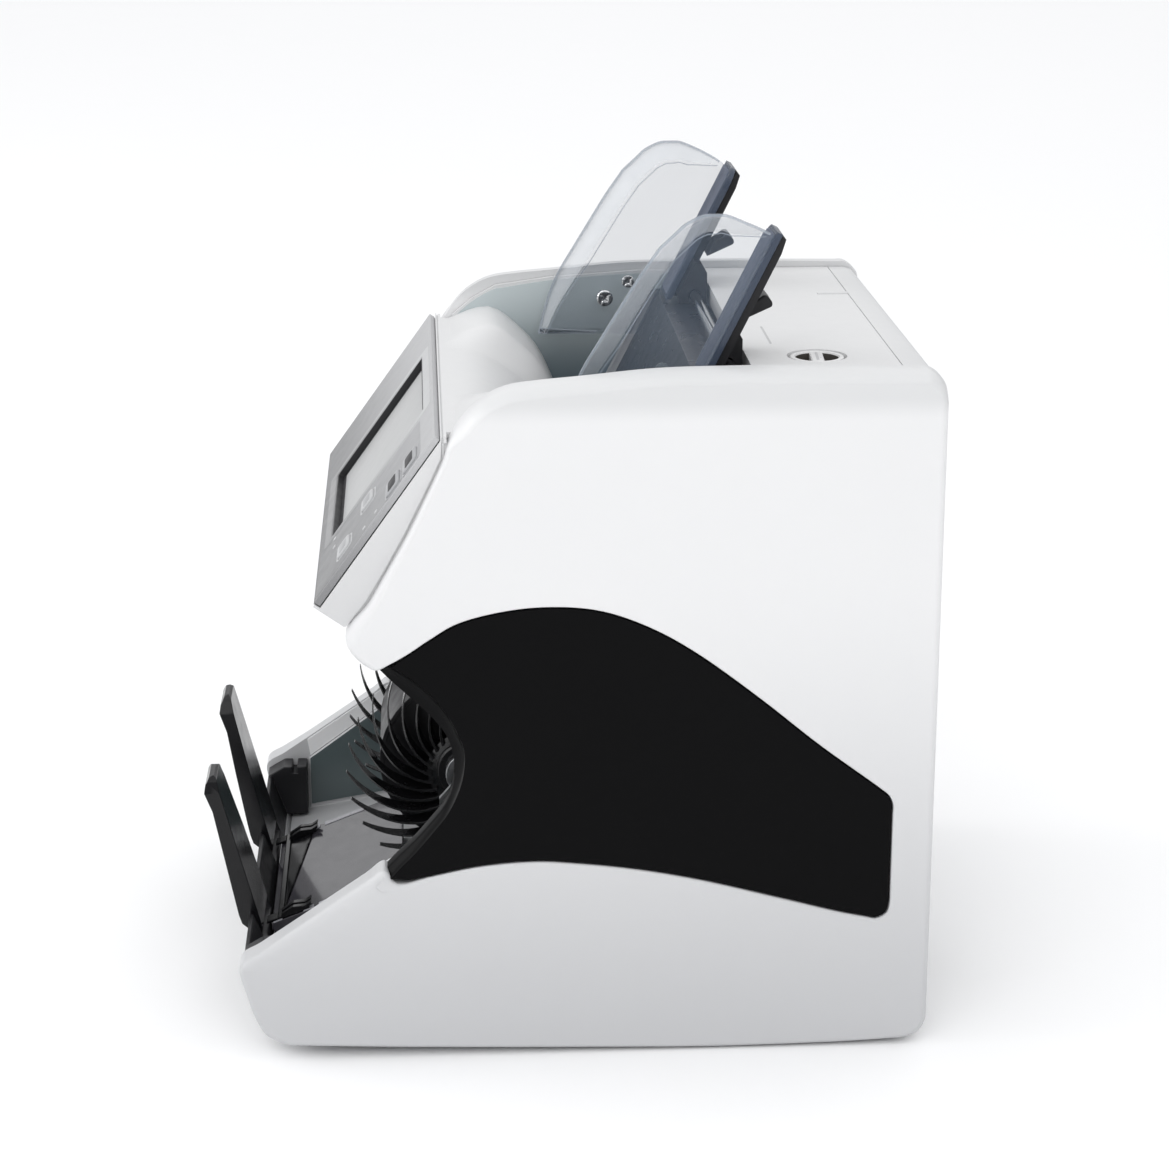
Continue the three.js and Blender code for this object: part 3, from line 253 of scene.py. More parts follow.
# painted light: brighter copy of the shell white for the pocket's upper bands
material("band_lit_white", (0.92, 0.925, 0.93), 0.35, vary=0.01, rough_vary=0.04, bump=0.05, specular=0.45)
material("dark_gap", (0.02, 0.02, 0.022), 0.8, vary=0.1, bump=0.05, specular=0.1)
material("floor_white", (0.965, 0.965, 0.968), 0.7, vary=0.004, rough_vary=0.03, bump=0.04, grain=300, specular=0.2)

SLOT_OF = {}
for s in frame["record"]["subparts"]:
    SLOT_OF[s["node"]] = s["material_slot"]


# ------------------------------------------------------------------ carried-over nodes
def finish_cad(node, bevel=0.45, segments=2, angle=28.0):
    """Joins the tessellated facets, rounds the sharp edges and shades the node smoothly."""
    o = NODES[node]
    me = o.data
    if "custom_normal" in me.attributes:
        me.attributes.remove(me.attributes["custom_normal"])
    me.polygons.foreach_set("use_smooth", [True] * len(me.polygons))
    w = o.modifiers.new("weld", "WELD")
    w.merge_threshold = 5e-6
    d = o.modifiers.new("planar", "DECIMATE")
    d.decimate_type = "DISSOLVE"
    d.angle_limit = math.radians(0.6)
    if bevel:
        b = o.modifiers.new("edges", "BEVEL")
        b.width = bevel * MM
        b.segments = segments
        b.limit_method = "ANGLE"
        b.angle_limit = math.radians(angle)
        b.harden_normals = True
        b.use_clamp_overlap = True
    n = o.modifiers.new("normals", "WEIGHTED_NORMAL")
    n.keep_sharp = True
    me.materials.clear()
    me.materials.append(MATS[SLOT_OF[node]])


BEVELS = {
    "base_pan": 0.6, "pocket_tray": 0.5, "display_housing": 1.1, "front_cover": 0.6, "top_cover": 0.9,
    "rear_cover": 0.7, "control_panel": 0.45, "key_start": 0.5, "key_mode": 0.5, "key_add": 0.5,
    "key_batch": 0.5, "stop_finger_right": 0.9, "stop_finger_left": 0.9, "stop_carriage": 0.25,
    "pocket_front_trim": 0.5, "stacker_chute": 0.3, "pocket_floor": 0.4, "thickness_knob": 0.4,
    "power_switch": 0.6, "power_inlet": 0.5, "drive_motor": 0.8, "power_supply": 0.8,
    "guide_back_plate_right": 0.7, "guide_back_plate_left": 0.7, "guide_grip_right": 0.7, "guide_grip_left": 0.7,
    "drive_belt": 0.0, "feed_belt": 0.0, "main_board": 0.2,
}
for node in list(NODES):
    finish_cad(node, BEVELS.get(node, 0.3), 3 if BEVELS.get(node, 0.3) >= 0.6 else 2)


for node in ("display_housing", "top_cover", "front_cover"):
    NODES[node].data.materials.clear()
    NODES[node].data.materials.append(MATS["head_white"])
NODES["hopper_back_plate"].data.materials.clear()
NODES["hopper_back_plate"].data.materials.append(MATS["hopper_dark"])


# ------------------------------------------------------------------ geometry helpers
def make(name, verts, faces, mat, body, replaces=(), bevel=0.0, segments=3, sharp=30.0, scale=MM):
    me = bpy.data.meshes.new(name)
    me.from_pydata([(v[0] * scale, v[1] * scale, v[2] * scale) for v in verts], [], faces)
    bm = bmesh.new()
    bm.from_mesh(me)
    bmesh.ops.remove_doubles(bm, verts=bm.verts, dist=1e-7)
    bmesh.ops.recalc_face_normals(bm, faces=bm.faces)
    bm.to_mesh(me)
    bm.free()
    me.polygons.foreach_set("use_smooth", [True] * len(me.polygons))
    me.materials.append(MATS[mat])
    o = bpy.data.objects.new(name, me)
    scene.collection.objects.link(o)
    if bevel:
        b = o.modifiers.new("edges", "BEVEL")
        b.width = bevel * MM
        b.segments = segments
        b.limit_method = "ANGLE"
        b.angle_limit = math.radians(sharp)
        b.harden_normals = True
        n = o.modifiers.new("normals", "WEIGHTED_NORMAL")
        n.keep_sharp = True
    else:
        me.set_sharp_from_angle(angle=math.radians(sharp))
    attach(o, body)
    if replaces:
        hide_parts(*replaces)
    return o


def guard(pts, limit=12.0, far=14.0, keep=3.0, closed=True):
    """Adds points close to a corner on long straight runs, so that a spline keeps them straight."""
    out = []
    n = len(pts)
    for i, p in enumerate(pts):
        a, b = pts[(i - 1) % n], pts[(i + 1) % n]
        u = Vector((p[0] - a[0], p[1] - a[1]))
        v = Vector((b[0] - p[0], b[1] - p[1]))
        end = (not closed) and i in (0, n - 1)
        turn = 0 if end else abs(math.degrees(u.angle(v, 0.0)))
        if turn > limit and u.length > far:
            f = keep / u.length
            out.append(tuple(p[k] + (a[k] - p[k]) * f for k in range(len(p))))
        out.append(tuple(p))
        if turn > limit and v.length > far:
            f = keep / v.length
            out.append(tuple(p[k] + (b[k] - p[k]) * f for k in range(len(p))))
    return out


def spline(pts, step=2.0, closed=True):
    """Centripetal spline through the points; the first two values are the place, the others are blended."""
    n = len(pts)
    out = []
    last = n if closed else n - 1
    for i in range(last):
        g = lambda j: pts[j % n] if closed else pts[min(max(j, 0), n - 1)]
        p0, p1, p2, p3 = g(i - 1), g(i), g(i + 1), g(i + 2)
        d = lambda a, b: max(math.hypot(a[0] - b[0], a[1] - b[1]) ** 0.5, 1e-4)
        t0 = 0.0
        t1 = t0 + d(p0, p1)
        t2 = t1 + d(p1, p2)
        t3 = t2 + d(p2, p3)
        m = max(1, math.ceil(math.hypot(p1[0] - p2[0], p1[1] - p2[1]) / step))
        for k in range(m):
            t = t1 + (t2 - t1) * k / m
            q = []
            for c in (0, 1):
                if p0 is p1 or (abs(p0[0] - p1[0]) + abs(p0[1] - p1[1])) < 1e-9:
                    a1 = p1[c]
                else:
                    a1 = (t1 - t) / (t1 - t0) * p0[c] + (t - t0) / (t1 - t0) * p1[c]
                a2 = (t2 - t) / (t2 - t1) * p1[c] + (t - t1) / (t2 - t1) * p2[c]
                if (abs(p3[0] - p2[0]) + abs(p3[1] - p2[1])) < 1e-9:
                    a3 = p2[c]
                else:
                    a3 = (t3 - t) / (t3 - t2) * p2[c] + (t - t2) / (t3 - t2) * p3[c]
                b1 = (t2 - t) / (t2 - t0) * a1 + (t - t0) / (t2 - t0) * a2
                b2 = (t3 - t) / (t3 - t1) * a2 + (t - t1) / (t3 - t1) * a3
                q.append((t2 - t) / (t2 - t1) * b1 + (t - t1) / (t2 - t1) * b2)
            f = k / m
            q += [p1[c] + (p2[c] - p1[c]) * f for c in range(2, len(p1))]
            out.append(tuple(q))
    if not closed:
        out.append(tuple(pts[-1]))
    return out


def area2(p):
    return sum(p[i][0] * p[(i + 1) % len(p)][1] - p[(i + 1) % len(p)][0] * p[i][1] for i in range(len(p))) / 2


def normals2(pts):
    """Inward unit normals of a counter-clockwise closed outline."""
    n = len(pts)
    out = []
    for i in range(n):
        a, p, b = pts[i - 1], pts[i], pts[(i + 1) % n]
        u = Vector((p[0] - a[0], p[1] - a[1]))
        v = Vector((b[0] - p[0], b[1] - p[1]))
        if u.length < 1e-9:
            u = v
        if v.length < 1e-9:
            v = u
        u.normalize()
        v.normalize()
        m = Vector((-(u.y + v.y), u.x + v.x))
        out.append(m.normalized() if m.length > 1e-9 else Vector((-u.y, u.x)))
    return out


def inset(pts, d):
    ns = normals2(pts)
    return [(p[0] + ns[i].x * (d[i] if isinstance(d, (list, tuple)) else d),
             p[1] + ns[i].y * (d[i] if isinstance(d, (list, tuple)) else d)) for i, p in enumerate(pts)]


def rings_to_mesh(rings, cap=True):
    """Closed body from rings of equal length, each a list of (x, y, z)."""
    n = len(rings[0])
    verts = [v for r in rings for v in r]
    faces = []
    for k in range(len(rings) - 1):
        for i in range(n):
            j = (i + 1) % n
            faces.append((k * n + i, k * n + j, (k + 1) * n + j, (k + 1) * n + i))
    if cap:
        faces.append(tuple(reversed(range(n))))
        faces.append(tuple((len(rings) - 1) * n + i for i in range(n)))
    return verts, faces


def mirrored(verts, faces):
    return [(-v[0], v[1], v[2]) for v in verts], [tuple(reversed(f)) for f in faces]


# ------------------------------------------------------------------ side shells
LOW_FRONT = [(-131.0, 40.6, 3), (-128.6, 27.3, 3), (-125.9, 18.5, 3), (-122.0, 10.9, 3), (-117.9, 7.9, 3),
             (-112.0, 5.8, 2.5), (-67.6, 4.1, 2), (13.6, 1.8, 2), (62, 0.9, 2), (115.9, 1.6, 2), (137, 2.6, 2),
             (144.2, 5.2, 2.6), (147.4, 11.2, 3)]
REAR_TOP = [(147.4, 120, 3), (147.4, 269, 3), (145.9, 276.7, 3.6), (140.5, 280.8, 4.2)]
TOP_EDGE = [(115, 281.4, 4.4), (90.1, 281.8, 4.4), (64.1, 281.8, 4.4), (35.9, 281.2, 4.4), (6.3, 278.5, 4.4),
            (-11, 277.0, 4.4), (-20.5, 275.7, 4.4), (-27, 273.4, 4.4), (-34.6, 268.4, 4.2), (-40.3, 261.9, 3.6)]
FRONT_EDGE = [(-44.6, 254.6, 2), (-46.6, 248.4, 1.8), (-52.9, 234.8, 1.8), (-61.0, 218.4, 2.2), (-69.4, 203.3, 2.8),
              (-77.2, 190.1, 3.8), (-82.9, 183.6, 5.5), (-85.6, 177.6, 6.2), (-83.6, 171.2, 6.0), (-74.2, 165.0, 2.0)]
SWOOSH = [(-69.6, 167.2), (-62.4, 171.2), (-53.0, 177.5), (-43.6, 183.2), (-33.3, 186.6), (-17.7, 189.4),
          (-4.2, 190.0), (9.4, 188.9), (21.1, 185.9), (36.8, 179.0), (52.5, 169.3), (76.4, 151.0), (100.6, 130.9),
          (125.1, 112.2), (129.0, 108.8), (130.6, 104.8), (130.5, 63.8), (129.3, 58.4), (124.7, 56.0),
          (110.5, 59.1), (86.0, 65.8), (53.6, 74.4), (29.5, 79.3), (5.5, 82.5), (-12.4, 83.8), (-34.4, 82.2),
          (-54.3, 78.3), (-67.4, 75.6)]
LIP = [(-72.3, 80.6, 8.0), (-80, 75.3, 10.0), (-92, 67.1, 10.8), (-112, 53.4, 10.0), (-123, 46.0, 6.5)]
SHELL_IN, HALF_W = 110.6, 125.0

outline = []
for p in LOW_FRONT + REAR_TOP[:2]:
    outline.append((p[0], p[1], p[2], p[2] * 1.25))
for p in REAR_TOP[2:]:
    outline.append((p[0], p[1], 4.6, 9.0))
for p in TOP_EDGE:
    outline.append((p[0], p[1], 4.9, 11.6))
for p in FRONT_EDGE:
    outline.append((p[0], p[1], p[2], max(1.4, p[2] * 1.15)))
for p in SWOOSH:
    soft = {(-67.4, 75.6): 3.4, (-54.3, 78.3): 2.2, (-34.4, 82.2): 1.4}.get(p, 0.8)
    outline.append((p[0], p[1], soft, max(1.0, soft * 0.6)))
for p in LIP:
    outline.append((p[0], p[1], p[2], p[2] * 0.55))
dense = [(min(p[0], 147.38),) + tuple(p[1:]) for p in spline(guard(outline), 1.8)]
K = 9
rings = [[(SHELL_IN, p[0], p[1]) for p in dense]]
for k in range(K + 1):
    a = math.radians(90 * k / K)
    pts = inset(dense, [p[2] * (1 - math.cos(a)) for p in dense])
    rings.append([(HALF_W - dense[i][3] * (1 - math.sin(a)), q[0], q[1]) for i, q in enumerate(pts)])
V, F = rings_to_mesh(rings)


def weight_normals(o):
    n = o.modifiers.new("normals", "WEIGHTED_NORMAL")
    n.keep_sharp = True
    n.weight = 60


for sd, vf in (("right", (V, F)), ("left", mirrored(V, F))):
    o = make("shell_" + sd, vf[0], vf[1], "shell_white", "chassis", ("side_panel_" + sd,), sharp=40)
    weight_normals(o)

# ------------------------------------------------------------------ black inlays
C_FACE = [(-67.9, 166.4), (-61.8, 162.5), (-55.8, 157.5), (-49.7, 150.8), (-45.2, 144.2), (-42.2, 137.6),
          (-40.3, 132.6), (-39.9, 126.6), (-41.2, 118.4), (-43.6, 111.4), (-47.2, 104.4), (-52.6, 97.4),
          (-60.0, 88.6), (-66.4, 82.0), (-70.0, 77.8)]
C_IN = [(-73.2, 164.4), (-68.9, 159.8), (-62.8, 153.9), (-55.9, 147.2), (-51.3, 142.2), (-46.7, 135.5),
        (-44.3, 128.0), (-44.1, 120.6), (-45.4, 113.1), (-48.5, 106.1), (-53.8, 99.2), (-60.2, 91.8),
        (-66.6, 85.5), (-71.2, 80.6)]


def even(pts, n):
    d = spline(pts, 0.5, closed=False)
    s = [0.0]
    for a, b in zip(d, d[1:]):
        s.append(s[-1] + math.hypot(a[0] - b[0], a[1] - b[1]))
    out, j = [], 0
    for i in range(n + 1):
        t = s[-1] * i / n
        while j < len(s) - 2 and s[j + 1] < t:
            j += 1
        f = (t - s[j]) / max(s[j + 1] - s[j], 1e-9)
        out.append((d[j][0] + (d[j + 1][0] - d[j][0]) * f, d[j][1] + (d[j + 1][1] - d[j][1]) * f))
    return out


sw = spline(guard(SWOOSH, closed=False), 1.8, closed=False)
base = [p for p in sw]
loop0 = base + list(reversed(even(C_FACE, 56)))
if area2(loop0) < 0:
    loop0 = list(reversed(loop0))
    flipped = True
else:
    flipped = False
nb = len(base)
rear = inset(loop0, 0.55)
rear = rear[-nb:] if flipped else rear[:nb]
rear = [p for p in rear if p[0] > -64.0]
cf = even(C_FACE, 60)
ci = even(C_IN, 60)
# the swoosh runs from the upper front round the rear to the lower front; the C edge returns upwards
if not flipped:
    cf, ci = list(reversed(cf)), list(reversed(ci))
    if rear[0][1] < rear[-1][1]:
        rear = list(reversed(rear))
la, lb = rear + cf, rear + ci
if area2(la) < 0:
    la, lb = list(reversed(la)), list(reversed(lb))


def mixl(a, b, t):
    return [(p[0] + (q[0] - p[0]) * t, p[1] + (q[1] - p[1]) * t) for p, q in zip(a, b)]


lev = [(112.4, lb), (118.2, lb)]
for k in range(1, 6):
    t = k / 6
    lev.append((118.2 + 5.4 * t, mixl(lb, la, 1 - (1 - t) ** 1.5)))
lev += [(123.8, la), (124.15, inset(la, 0.12)), (124.3, inset(la, 0.45))]
V, F = rings_to_mesh([[(x, p[0], p[1]) for p in l] for x, l in lev])
for sd, vf in (("right", (V, F)), ("left", mirrored(V, F))):
    o = make("inlay_" + sd, vf[0], vf[1], "inlay_black", "chassis", ("inlay_panel_" + sd,), sharp=40)
    weight_normals(o)

# ------------------------------------------------------------------ stacker wheels
SY, SZ, SR = -38.0, 92.0, 51.0


def vane(a0, x0, x1, r0=15.0, r1=SR, w0=0.7, w1=0.22, sweep=(56.0, 4.0), n=18, wave=0.0):
    top, bot = [], []
    for i in range(n + 1):
        t = i / n
        f = lambda s: (r0 + (r1 - r0) * s, a0 - math.radians(sweep[0] * s + sweep[1] * s * s))
        r, a = f(t)
        r2, a2 = f(t + 0.01)
        c = Vector((r * math.cos(a), r * math.sin(a)))
        e = Vector((r2 * math.cos(a2), r2 * math.sin(a2))) - c
        e.normalize()
        w = w0 + (w1 - w0) * t ** 0.7
        top.append((c.x - e.y * w, c.y + e.x * w))
        bot.append((c.x + e.y * w, c.y - e.x * w))
    verts, faces = [], []
    for i in range(n + 1):
        k = 3.9 * max(0.0, (i / n - 0.40) / 0.60) ** 1.25
        for x, q in ((x0 + k, bot[i]), (x1 - k, bot[i]), (x1 - k, top[i]), (x0 + k, top[i])):
            verts.append((x, SY + q[0], SZ + q[1]))
    for i in range(n):
        for e in range(4):
            g = (e + 1) % 4
            faces.append((i * 4 + e, i * 4 + g, i * 4 + 4 + g, i * 4 + 4 + e))
    faces.append((3, 2, 1, 0))
    faces.append((n * 4, n * 4 + 1, n * 4 + 2, n * 4 + 3))
    return verts, faces


def wheel(name, x0, x1, phase, body):
    verts, faces = [], []

    def addpart(v, f):
        k = len(verts)
        verts.extend(v)
        faces.extend(tuple(i + k for i in q) for q in f)

    # hub with raised rims
    prof = [(x0 - 0.0, 6.0), (x0 - 0.0, 12.0), (x0 + 0.8, 12.8), (x0 + 2.4, 12.8), (x0 + 3.0, 16.6), (x1 - 3.0, 16.6),
            (x1 - 2.4, 12.8), (x1 - 0.8, 12.8), (x1, 12.0), (x1, 6.0)]
    seg = 48
    rr = []
    for i in range(seg):
        a = 2 * math.pi * i / seg
        rr.append([(x, SY + r * math.cos(a), SZ + r * math.sin(a)) for x, r in prof])
    n = len(prof)
    v = [q for r in rr for q in r]
    f = []
    for i in range(seg):
        j = (i + 1) % seg
        for k in range(n):
            l = (k + 1) % n
            f.append((i * n + k, j * n + k, j * n + l, i * n + l))
    addpart(v, f)
    N = 26
    for i in range(N):
        a0 = phase + i / N * 2 * math.pi
        addpart(*vane(a0, x0 + 0.5, x1 - 0.5))
    return make(name, verts, faces, "vane_rubber", body, (), bevel=0.12, segments=2, sharp=35)


w = wheel("vane_wheel_right", 30, 42, 0.1, "stacker")
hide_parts("stacker_wheel_right")
w = wheel("vane_wheel_left", -42, -30, 0.35, "stacker")
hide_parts("stacker_wheel_left")

# ------------------------------------------------------------------ note guides
G_OUT = [(-1.2, 252), (44.0, 252), (60.9, 285), (82.8, 328.2), (79.4, 330.9), (69.5, 335.8), (62.0, 338.5),
         (54.4, 338.2), (46.7, 334.5), (37.2, 325.6), (29.6, 314.7), (22.6, 303.4), (14.9, 290.8), (7.2, 277.7),
         (2.2, 264.8)]
G_BORDER = [3.0, 0, 0, 0, 3, 7.6, 8.6, 9, 9, 9, 9, 9, 9, 8, 5.5]


def back_y(z):
    return 61.0 + 0.5035 * (z - 285)


def guide(sd, body):
    # plate: a dish whose border flares outwards along the front and the rounded top
    o = spline(guard([(p[0], p[1], G_BORDER[i]) for i, p in enumerate(G_OUT)], limit=10, far=12, keep=2.4), 1.6)
    o = [(p[0], min(p[1], 338.44)) + tuple(p[2:]) for p in o]
    ns = normals2(o)
    secs = []
    m = 8
    T = 1.7
    for k in range(m + 1):
        t = k / m
        s = t * t * (3 - 2 * t)
        secs.append((t, 99.0 - 7.0 * s))
    outer_rings = []
    for t, x in secs:
        outer_rings.append([(92.0 + (x - 92.0) * min(1.0, max(p[2], 0.0) / 7.0), p[0] + ns[i].x * p[2] * t, p[1] + ns[i].y * p[2] * t)
                            for i, p in enumerate(o)])
    inner_rings = []
    for t, x in secs:
        e = 0.35 * (1 - t)
        inner_rings.append([(92.0 + (x - 92.0) * min(1.0, max(p[2], 0.0) / 7.0) + T * (0.35 + 0.65 * t), p[0] + ns[i].x * (p[2] * t + e), p[1] + ns[i].y * (p[2] * t + e))
                            for i, p in enumerate(o)])
    # order: inner face ring (dish inside, +X side) to rim to outside (hopper side)
    rings = [inner_rings[k] for k in range(m, -1, -1)] + [outer_rings[k] for k in range(0, m + 1)]
    v, f = rings_to_mesh(rings)
    if sd == "left":
        v, f = mirrored(v, f)
    g = make("guide_plate_" + sd, v, f, "guide_clear", body, ("side_guide_" + sd,), sharp=50)
    weight_normals(g)
    # rolled edge along the rounded front and top, and a crease where the dish begins, both paler than the plate as
    # painted highlight
    def band(name, off, w, x0, x1, mat):
        verts, faces, rows = [], [], []
        sel = [i for i, p in enumerate(o) if p[2] > 1.2]
        st = next((k for k in range(len(sel)) if (sel[k] - 1) % len(o) not in sel), 0)
        run = [sel[(st + k) % len(sel)] for k in range(len(sel))]
        for i in run:
            p, nn = o[i], ns[i]
            d = off * p[2]
            xo = 92.0 + 7.0 * min(1.0, p[2] / 7.0) * (1 if off < 0.5 else 0)
            q = []
            for dx, dn in ((x0, 0.0), (x1, 0.0), (x1, w), (x0, w)):
                q.append((xo + dx, p[0] + nn.x * (d + dn), p[1] + nn.y * (d + dn)))
            rows.append(q)
        for q in rows:
            verts.extend(q)
        for k in range(len(rows) - 1):
            for e in range(4):
                g = (e + 1) % 4
                faces.append((k * 4 + e, k * 4 + g, (k + 1) * 4 + g, (k + 1) * 4 + e))
        faces.append((3, 2, 1, 0))
        m0 = (len(rows) - 1) * 4
        faces.append((m0, m0 + 1, m0 + 2, m0 + 3))
        if sd == "left":
            verts, faces = mirrored(verts, faces)
        make(name, verts, faces, mat, body, (), bevel=0.12, segments=2, sharp=30)

    # painted sheen: pale strip inside the flared border, standing in for the lighter look the light gives the flared
    # border
    sel = [i for i, p in enumerate(o) if p[2] > 3.2]
    st = next((k for k in range(len(sel)) if (sel[k] - 1) % len(o) not in sel), 0)
    run = [sel[(st + k) % len(sel)] for k in range(len(sel))]
    cols = (0.10, 0.30, 0.50, 0.70, 0.90)
    verts, faces = [], []
    for i in run:
        p, nn = o[i], ns[i]
        for dx in (0.65, 1.05):
            for t in cols:
                x = 99.0 - 7.0 * t * t * (3 - 2 * t)
                verts.append((92.0 + (x - 92.0) * min(1.0, p[2] / 7.0) + dx, p[0] + nn.x * p[2] * t, p[1] + nn.y * p[2] * t))
    c = len(cols)
    for k in range(len(run) - 1):
        a, b = k * 2 * c, (k + 1) * 2 * c
        for e in range(c - 1):
            faces.append((a + e, a + e + 1, b + e + 1, b + e))
            faces.append((a + c + e, b + c + e, b + c + e + 1, a + c + e + 1))
        faces.append((a, b, b + c, a + c))
        faces.append((a + c - 1, a + 2 * c - 1, b + 2 * c - 1, b + c - 1))
    for a in (0, (len(run) - 1) * 2 * c):
        faces.append(tuple(range(a, a + c)) + tuple(range(a + 2 * c - 1, a + c - 1, -1)))
    if sd == "left":
        verts, faces = mirrored(verts, faces)
    make("guide_border_sheen_" + sd, verts, faces, "guide_border_sheen", body, (), sharp=60)
    # painted highlight: paler bands along the rolled edge and the crease
    band("guide_edge_glint_" + sd, 0.0, 0.9, -0.5, 1.5, "guide_edge_glint")
    band("guide_crease_" + sd, 1.0, 0.45, -0.25, 0.35, "guide_edge_glint")
    # ribbed flange turned inwards along the leaning rear edge
    xs = [68.0 + i * (94.0 - 68.0) / 52 for i in range(53)]
    front, rearf = [], []
    for x in xs:
        drop = max(0.0, 8.0 - math.sqrt(max(0.0, 64.0 - max(0.0, 76.0 - x) ** 2)))
        top = 330.2 - drop
        ph = ((x - 69.4) / 3.4) % 1.0
        rib = 0.75 * (0.5 - 0.5 * math.cos(2 * math.pi * ph)) ** 0.6 if 69.4 < x < 92.5 else 0.0
        front.append((x, rib, top))
        rearf.append((x, top))
    verts, faces = [], []
    nz = 26
    for j, (x, rib, top) in enumerate(front):
        for i in range(nz + 1):
            z = 272.4 + (top - 272.4) * i / nz
            fade = min(1.0, (i / nz) / 0.05, (1 - i / nz) / 0.05)
            verts.append((x, back_y(z) - rib * fade, z))
    off = len(verts)
    for j, (x, rib, top) in enumerate(front):
        for i in range(nz + 1):
            z = 272.4 + (top - 1.0 - 272.4) * i / nz
            verts.append((x, back_y(z) + 2.5, z))
    s = nz + 1
    J = len(front)
    for j in range(J - 1):
        for i in range(nz):
            faces.append((j * s + i, (j + 1) * s + i, (j + 1) * s + i + 1, j * s + i + 1))
            faces.append((off + j * s + i, off + j * s + i + 1, off + (j + 1) * s + i + 1, off + (j + 1) * s + i))
        faces.append((j * s, off + j * s, off + (j + 1) * s, (j + 1) * s))
        faces.append((j * s + nz, (j + 1) * s + nz, off + (j + 1) * s + nz, off + j * s + nz))
    for i in range(nz):
        faces.append((i, i + 1, off + i + 1, off + i))
        k = (J - 1) * s
        faces.append((k + i, off + k + i, off + k + i + 1, k + i + 1))
    if sd == "left":
        verts, faces = mirrored(verts, faces)
    make("guide_flange_" + sd, verts, faces, "guide_flange", body, (), sharp=50)
    # fine raised ribs along the flange, paler than the flange as painted highlight streaks
    verts, faces = [], []
    for k in range(8):
        xa = 70.3 + 2.9 * k
        drop = max(0.0, 8.0 - math.sqrt(max(0.0, 64.0 - max(0.0, 76.0 - xa) ** 2)))
        z0, z1 = 274.5, 328.8 - drop
        o0 = len(verts)
        for z in (z0, z1):
            for xx, yy in ((xa, 0.2), (xa + 0.9, 0.2), (xa + 0.7, -0.95), (xa + 0.2, -0.95)):
                verts.append((xx, back_y(z) + yy, z))
        faces += [(o0, o0 + 1, o0 + 2, o0 + 3), (o0 + 7, o0 + 6, o0 + 5, o0 + 4)]
        for q in range(4):
            r = (q + 1) % 4
            faces.append((o0 + q, o0 + 4 + q, o0 + 4 + r, o0 + r))
    if sd == "left":
        verts, faces = mirrored(verts, faces)
    make("guide_ribs_" + sd, verts, faces, "rib_highlight", body, (), bevel=0.12, segments=2, sharp=30)


guide("right", "right_guide")
guide("left", "left_guide")

# ------------------------------------------------------------------ small parts and trims
def prism(name, pts, x0, x1, mat, body="chassis", bevel=0.3, segments=2, replaces=()):
    """A (y, z) outline extruded along X."""
    if area2(pts) < 0:
        pts = list(reversed(pts))
    v, f = rings_to_mesh([[(x0, p[0], p[1]) for p in pts], [(x1, p[0], p[1]) for p in pts]])
    return make(name, v, f, mat, body, replaces, bevel=bevel, segments=segments, sharp=28)


def round_rect(cx, cy, w, h, r, n=6):
    out = []
    for sx, sy, a0 in ((1, 1, 0), (-1, 1, 90), (-1, -1, 180), (1, -1, 270)):
        for i in range(n + 1):
            a = math.radians(a0 + 90 * i / n)
            out.append((cx + sx * (w / 2 - r) + r * math.cos(a), cy + sy * (h / 2 - r) + r * math.sin(a)))
    return out


PANEL_O = (-97.3, 191.4)
PD = math.radians(54.25)


def on_panel(u, v, n):
    return (u, PANEL_O[0] + v * math.cos(PD) - n * math.sin(PD), PANEL_O[1] + v * math.sin(PD) + n * math.cos(PD))


def panel_piece(name, pts, n0, n1, mat, body="chassis", crown=0.0, edge=0.0, hole=None, replaces=()):
    """A (u, v) outline raised from n0 to n1 over the sloping panel, with an optional hole and rounded edge."""
    if area2(pts) < 0:
        pts = list(reversed(pts))
    rings = [[on_panel(p[0], p[1], n0) for p in pts]]
    if edge:
        for k in range(5):
            a = math.radians(90 * k / 4)
            q = inset(pts, edge * (1 - math.cos(a)))
            rings.append([on_panel(p[0], p[1], n1 - edge * (1 - math.sin(a))) for p in q])
    else:
        rings.append([on_panel(p[0], p[1], n1) for p in pts])
    if hole:
        if area2(hole) < 0:
            hole = list(reversed(hole))
        rings.append([on_panel(p[0], p[1], n1) for p in hole])
        rings.append([on_panel(p[0], p[1], n0) for p in hole])
        v, f = rings_to_mesh(rings, cap=False)
        n = len(pts)
        m = len(rings)
        for i in range(n):
            j = (i + 1) % n
            f.append(((m - 1) * n + i, (m - 1) * n + j, j, i))
    else:
        v, f = rings_to_mesh(rings)
    return make(name, v, f, mat, body, replaces, sharp=40)


# black lining of the window's recess, and the window itself with a soft edge
wo = round_rect(0, 41.5, 100.0, 65.0, 1.6)
wi = round_rect(0, 41.5, 98.8, 63.8, 1.2)
panel_piece("window_lining", wo, -3.4, -0.25, "print_dark", hole=wi)
panel_piece("window_pane", round_rect(0, 41.5, 106, 71, 2), -5.8, -3.0, "screen_glass", edge=0.3, replaces=("display_screen",))
panel_piece("window_mask", round_rect(0, 41.5, 99.6, 64.6, 1.6), -3.0, -2.9, "print_dark", hole=round_rect(0, 41.5, 94.6, 59.6, 1.0))
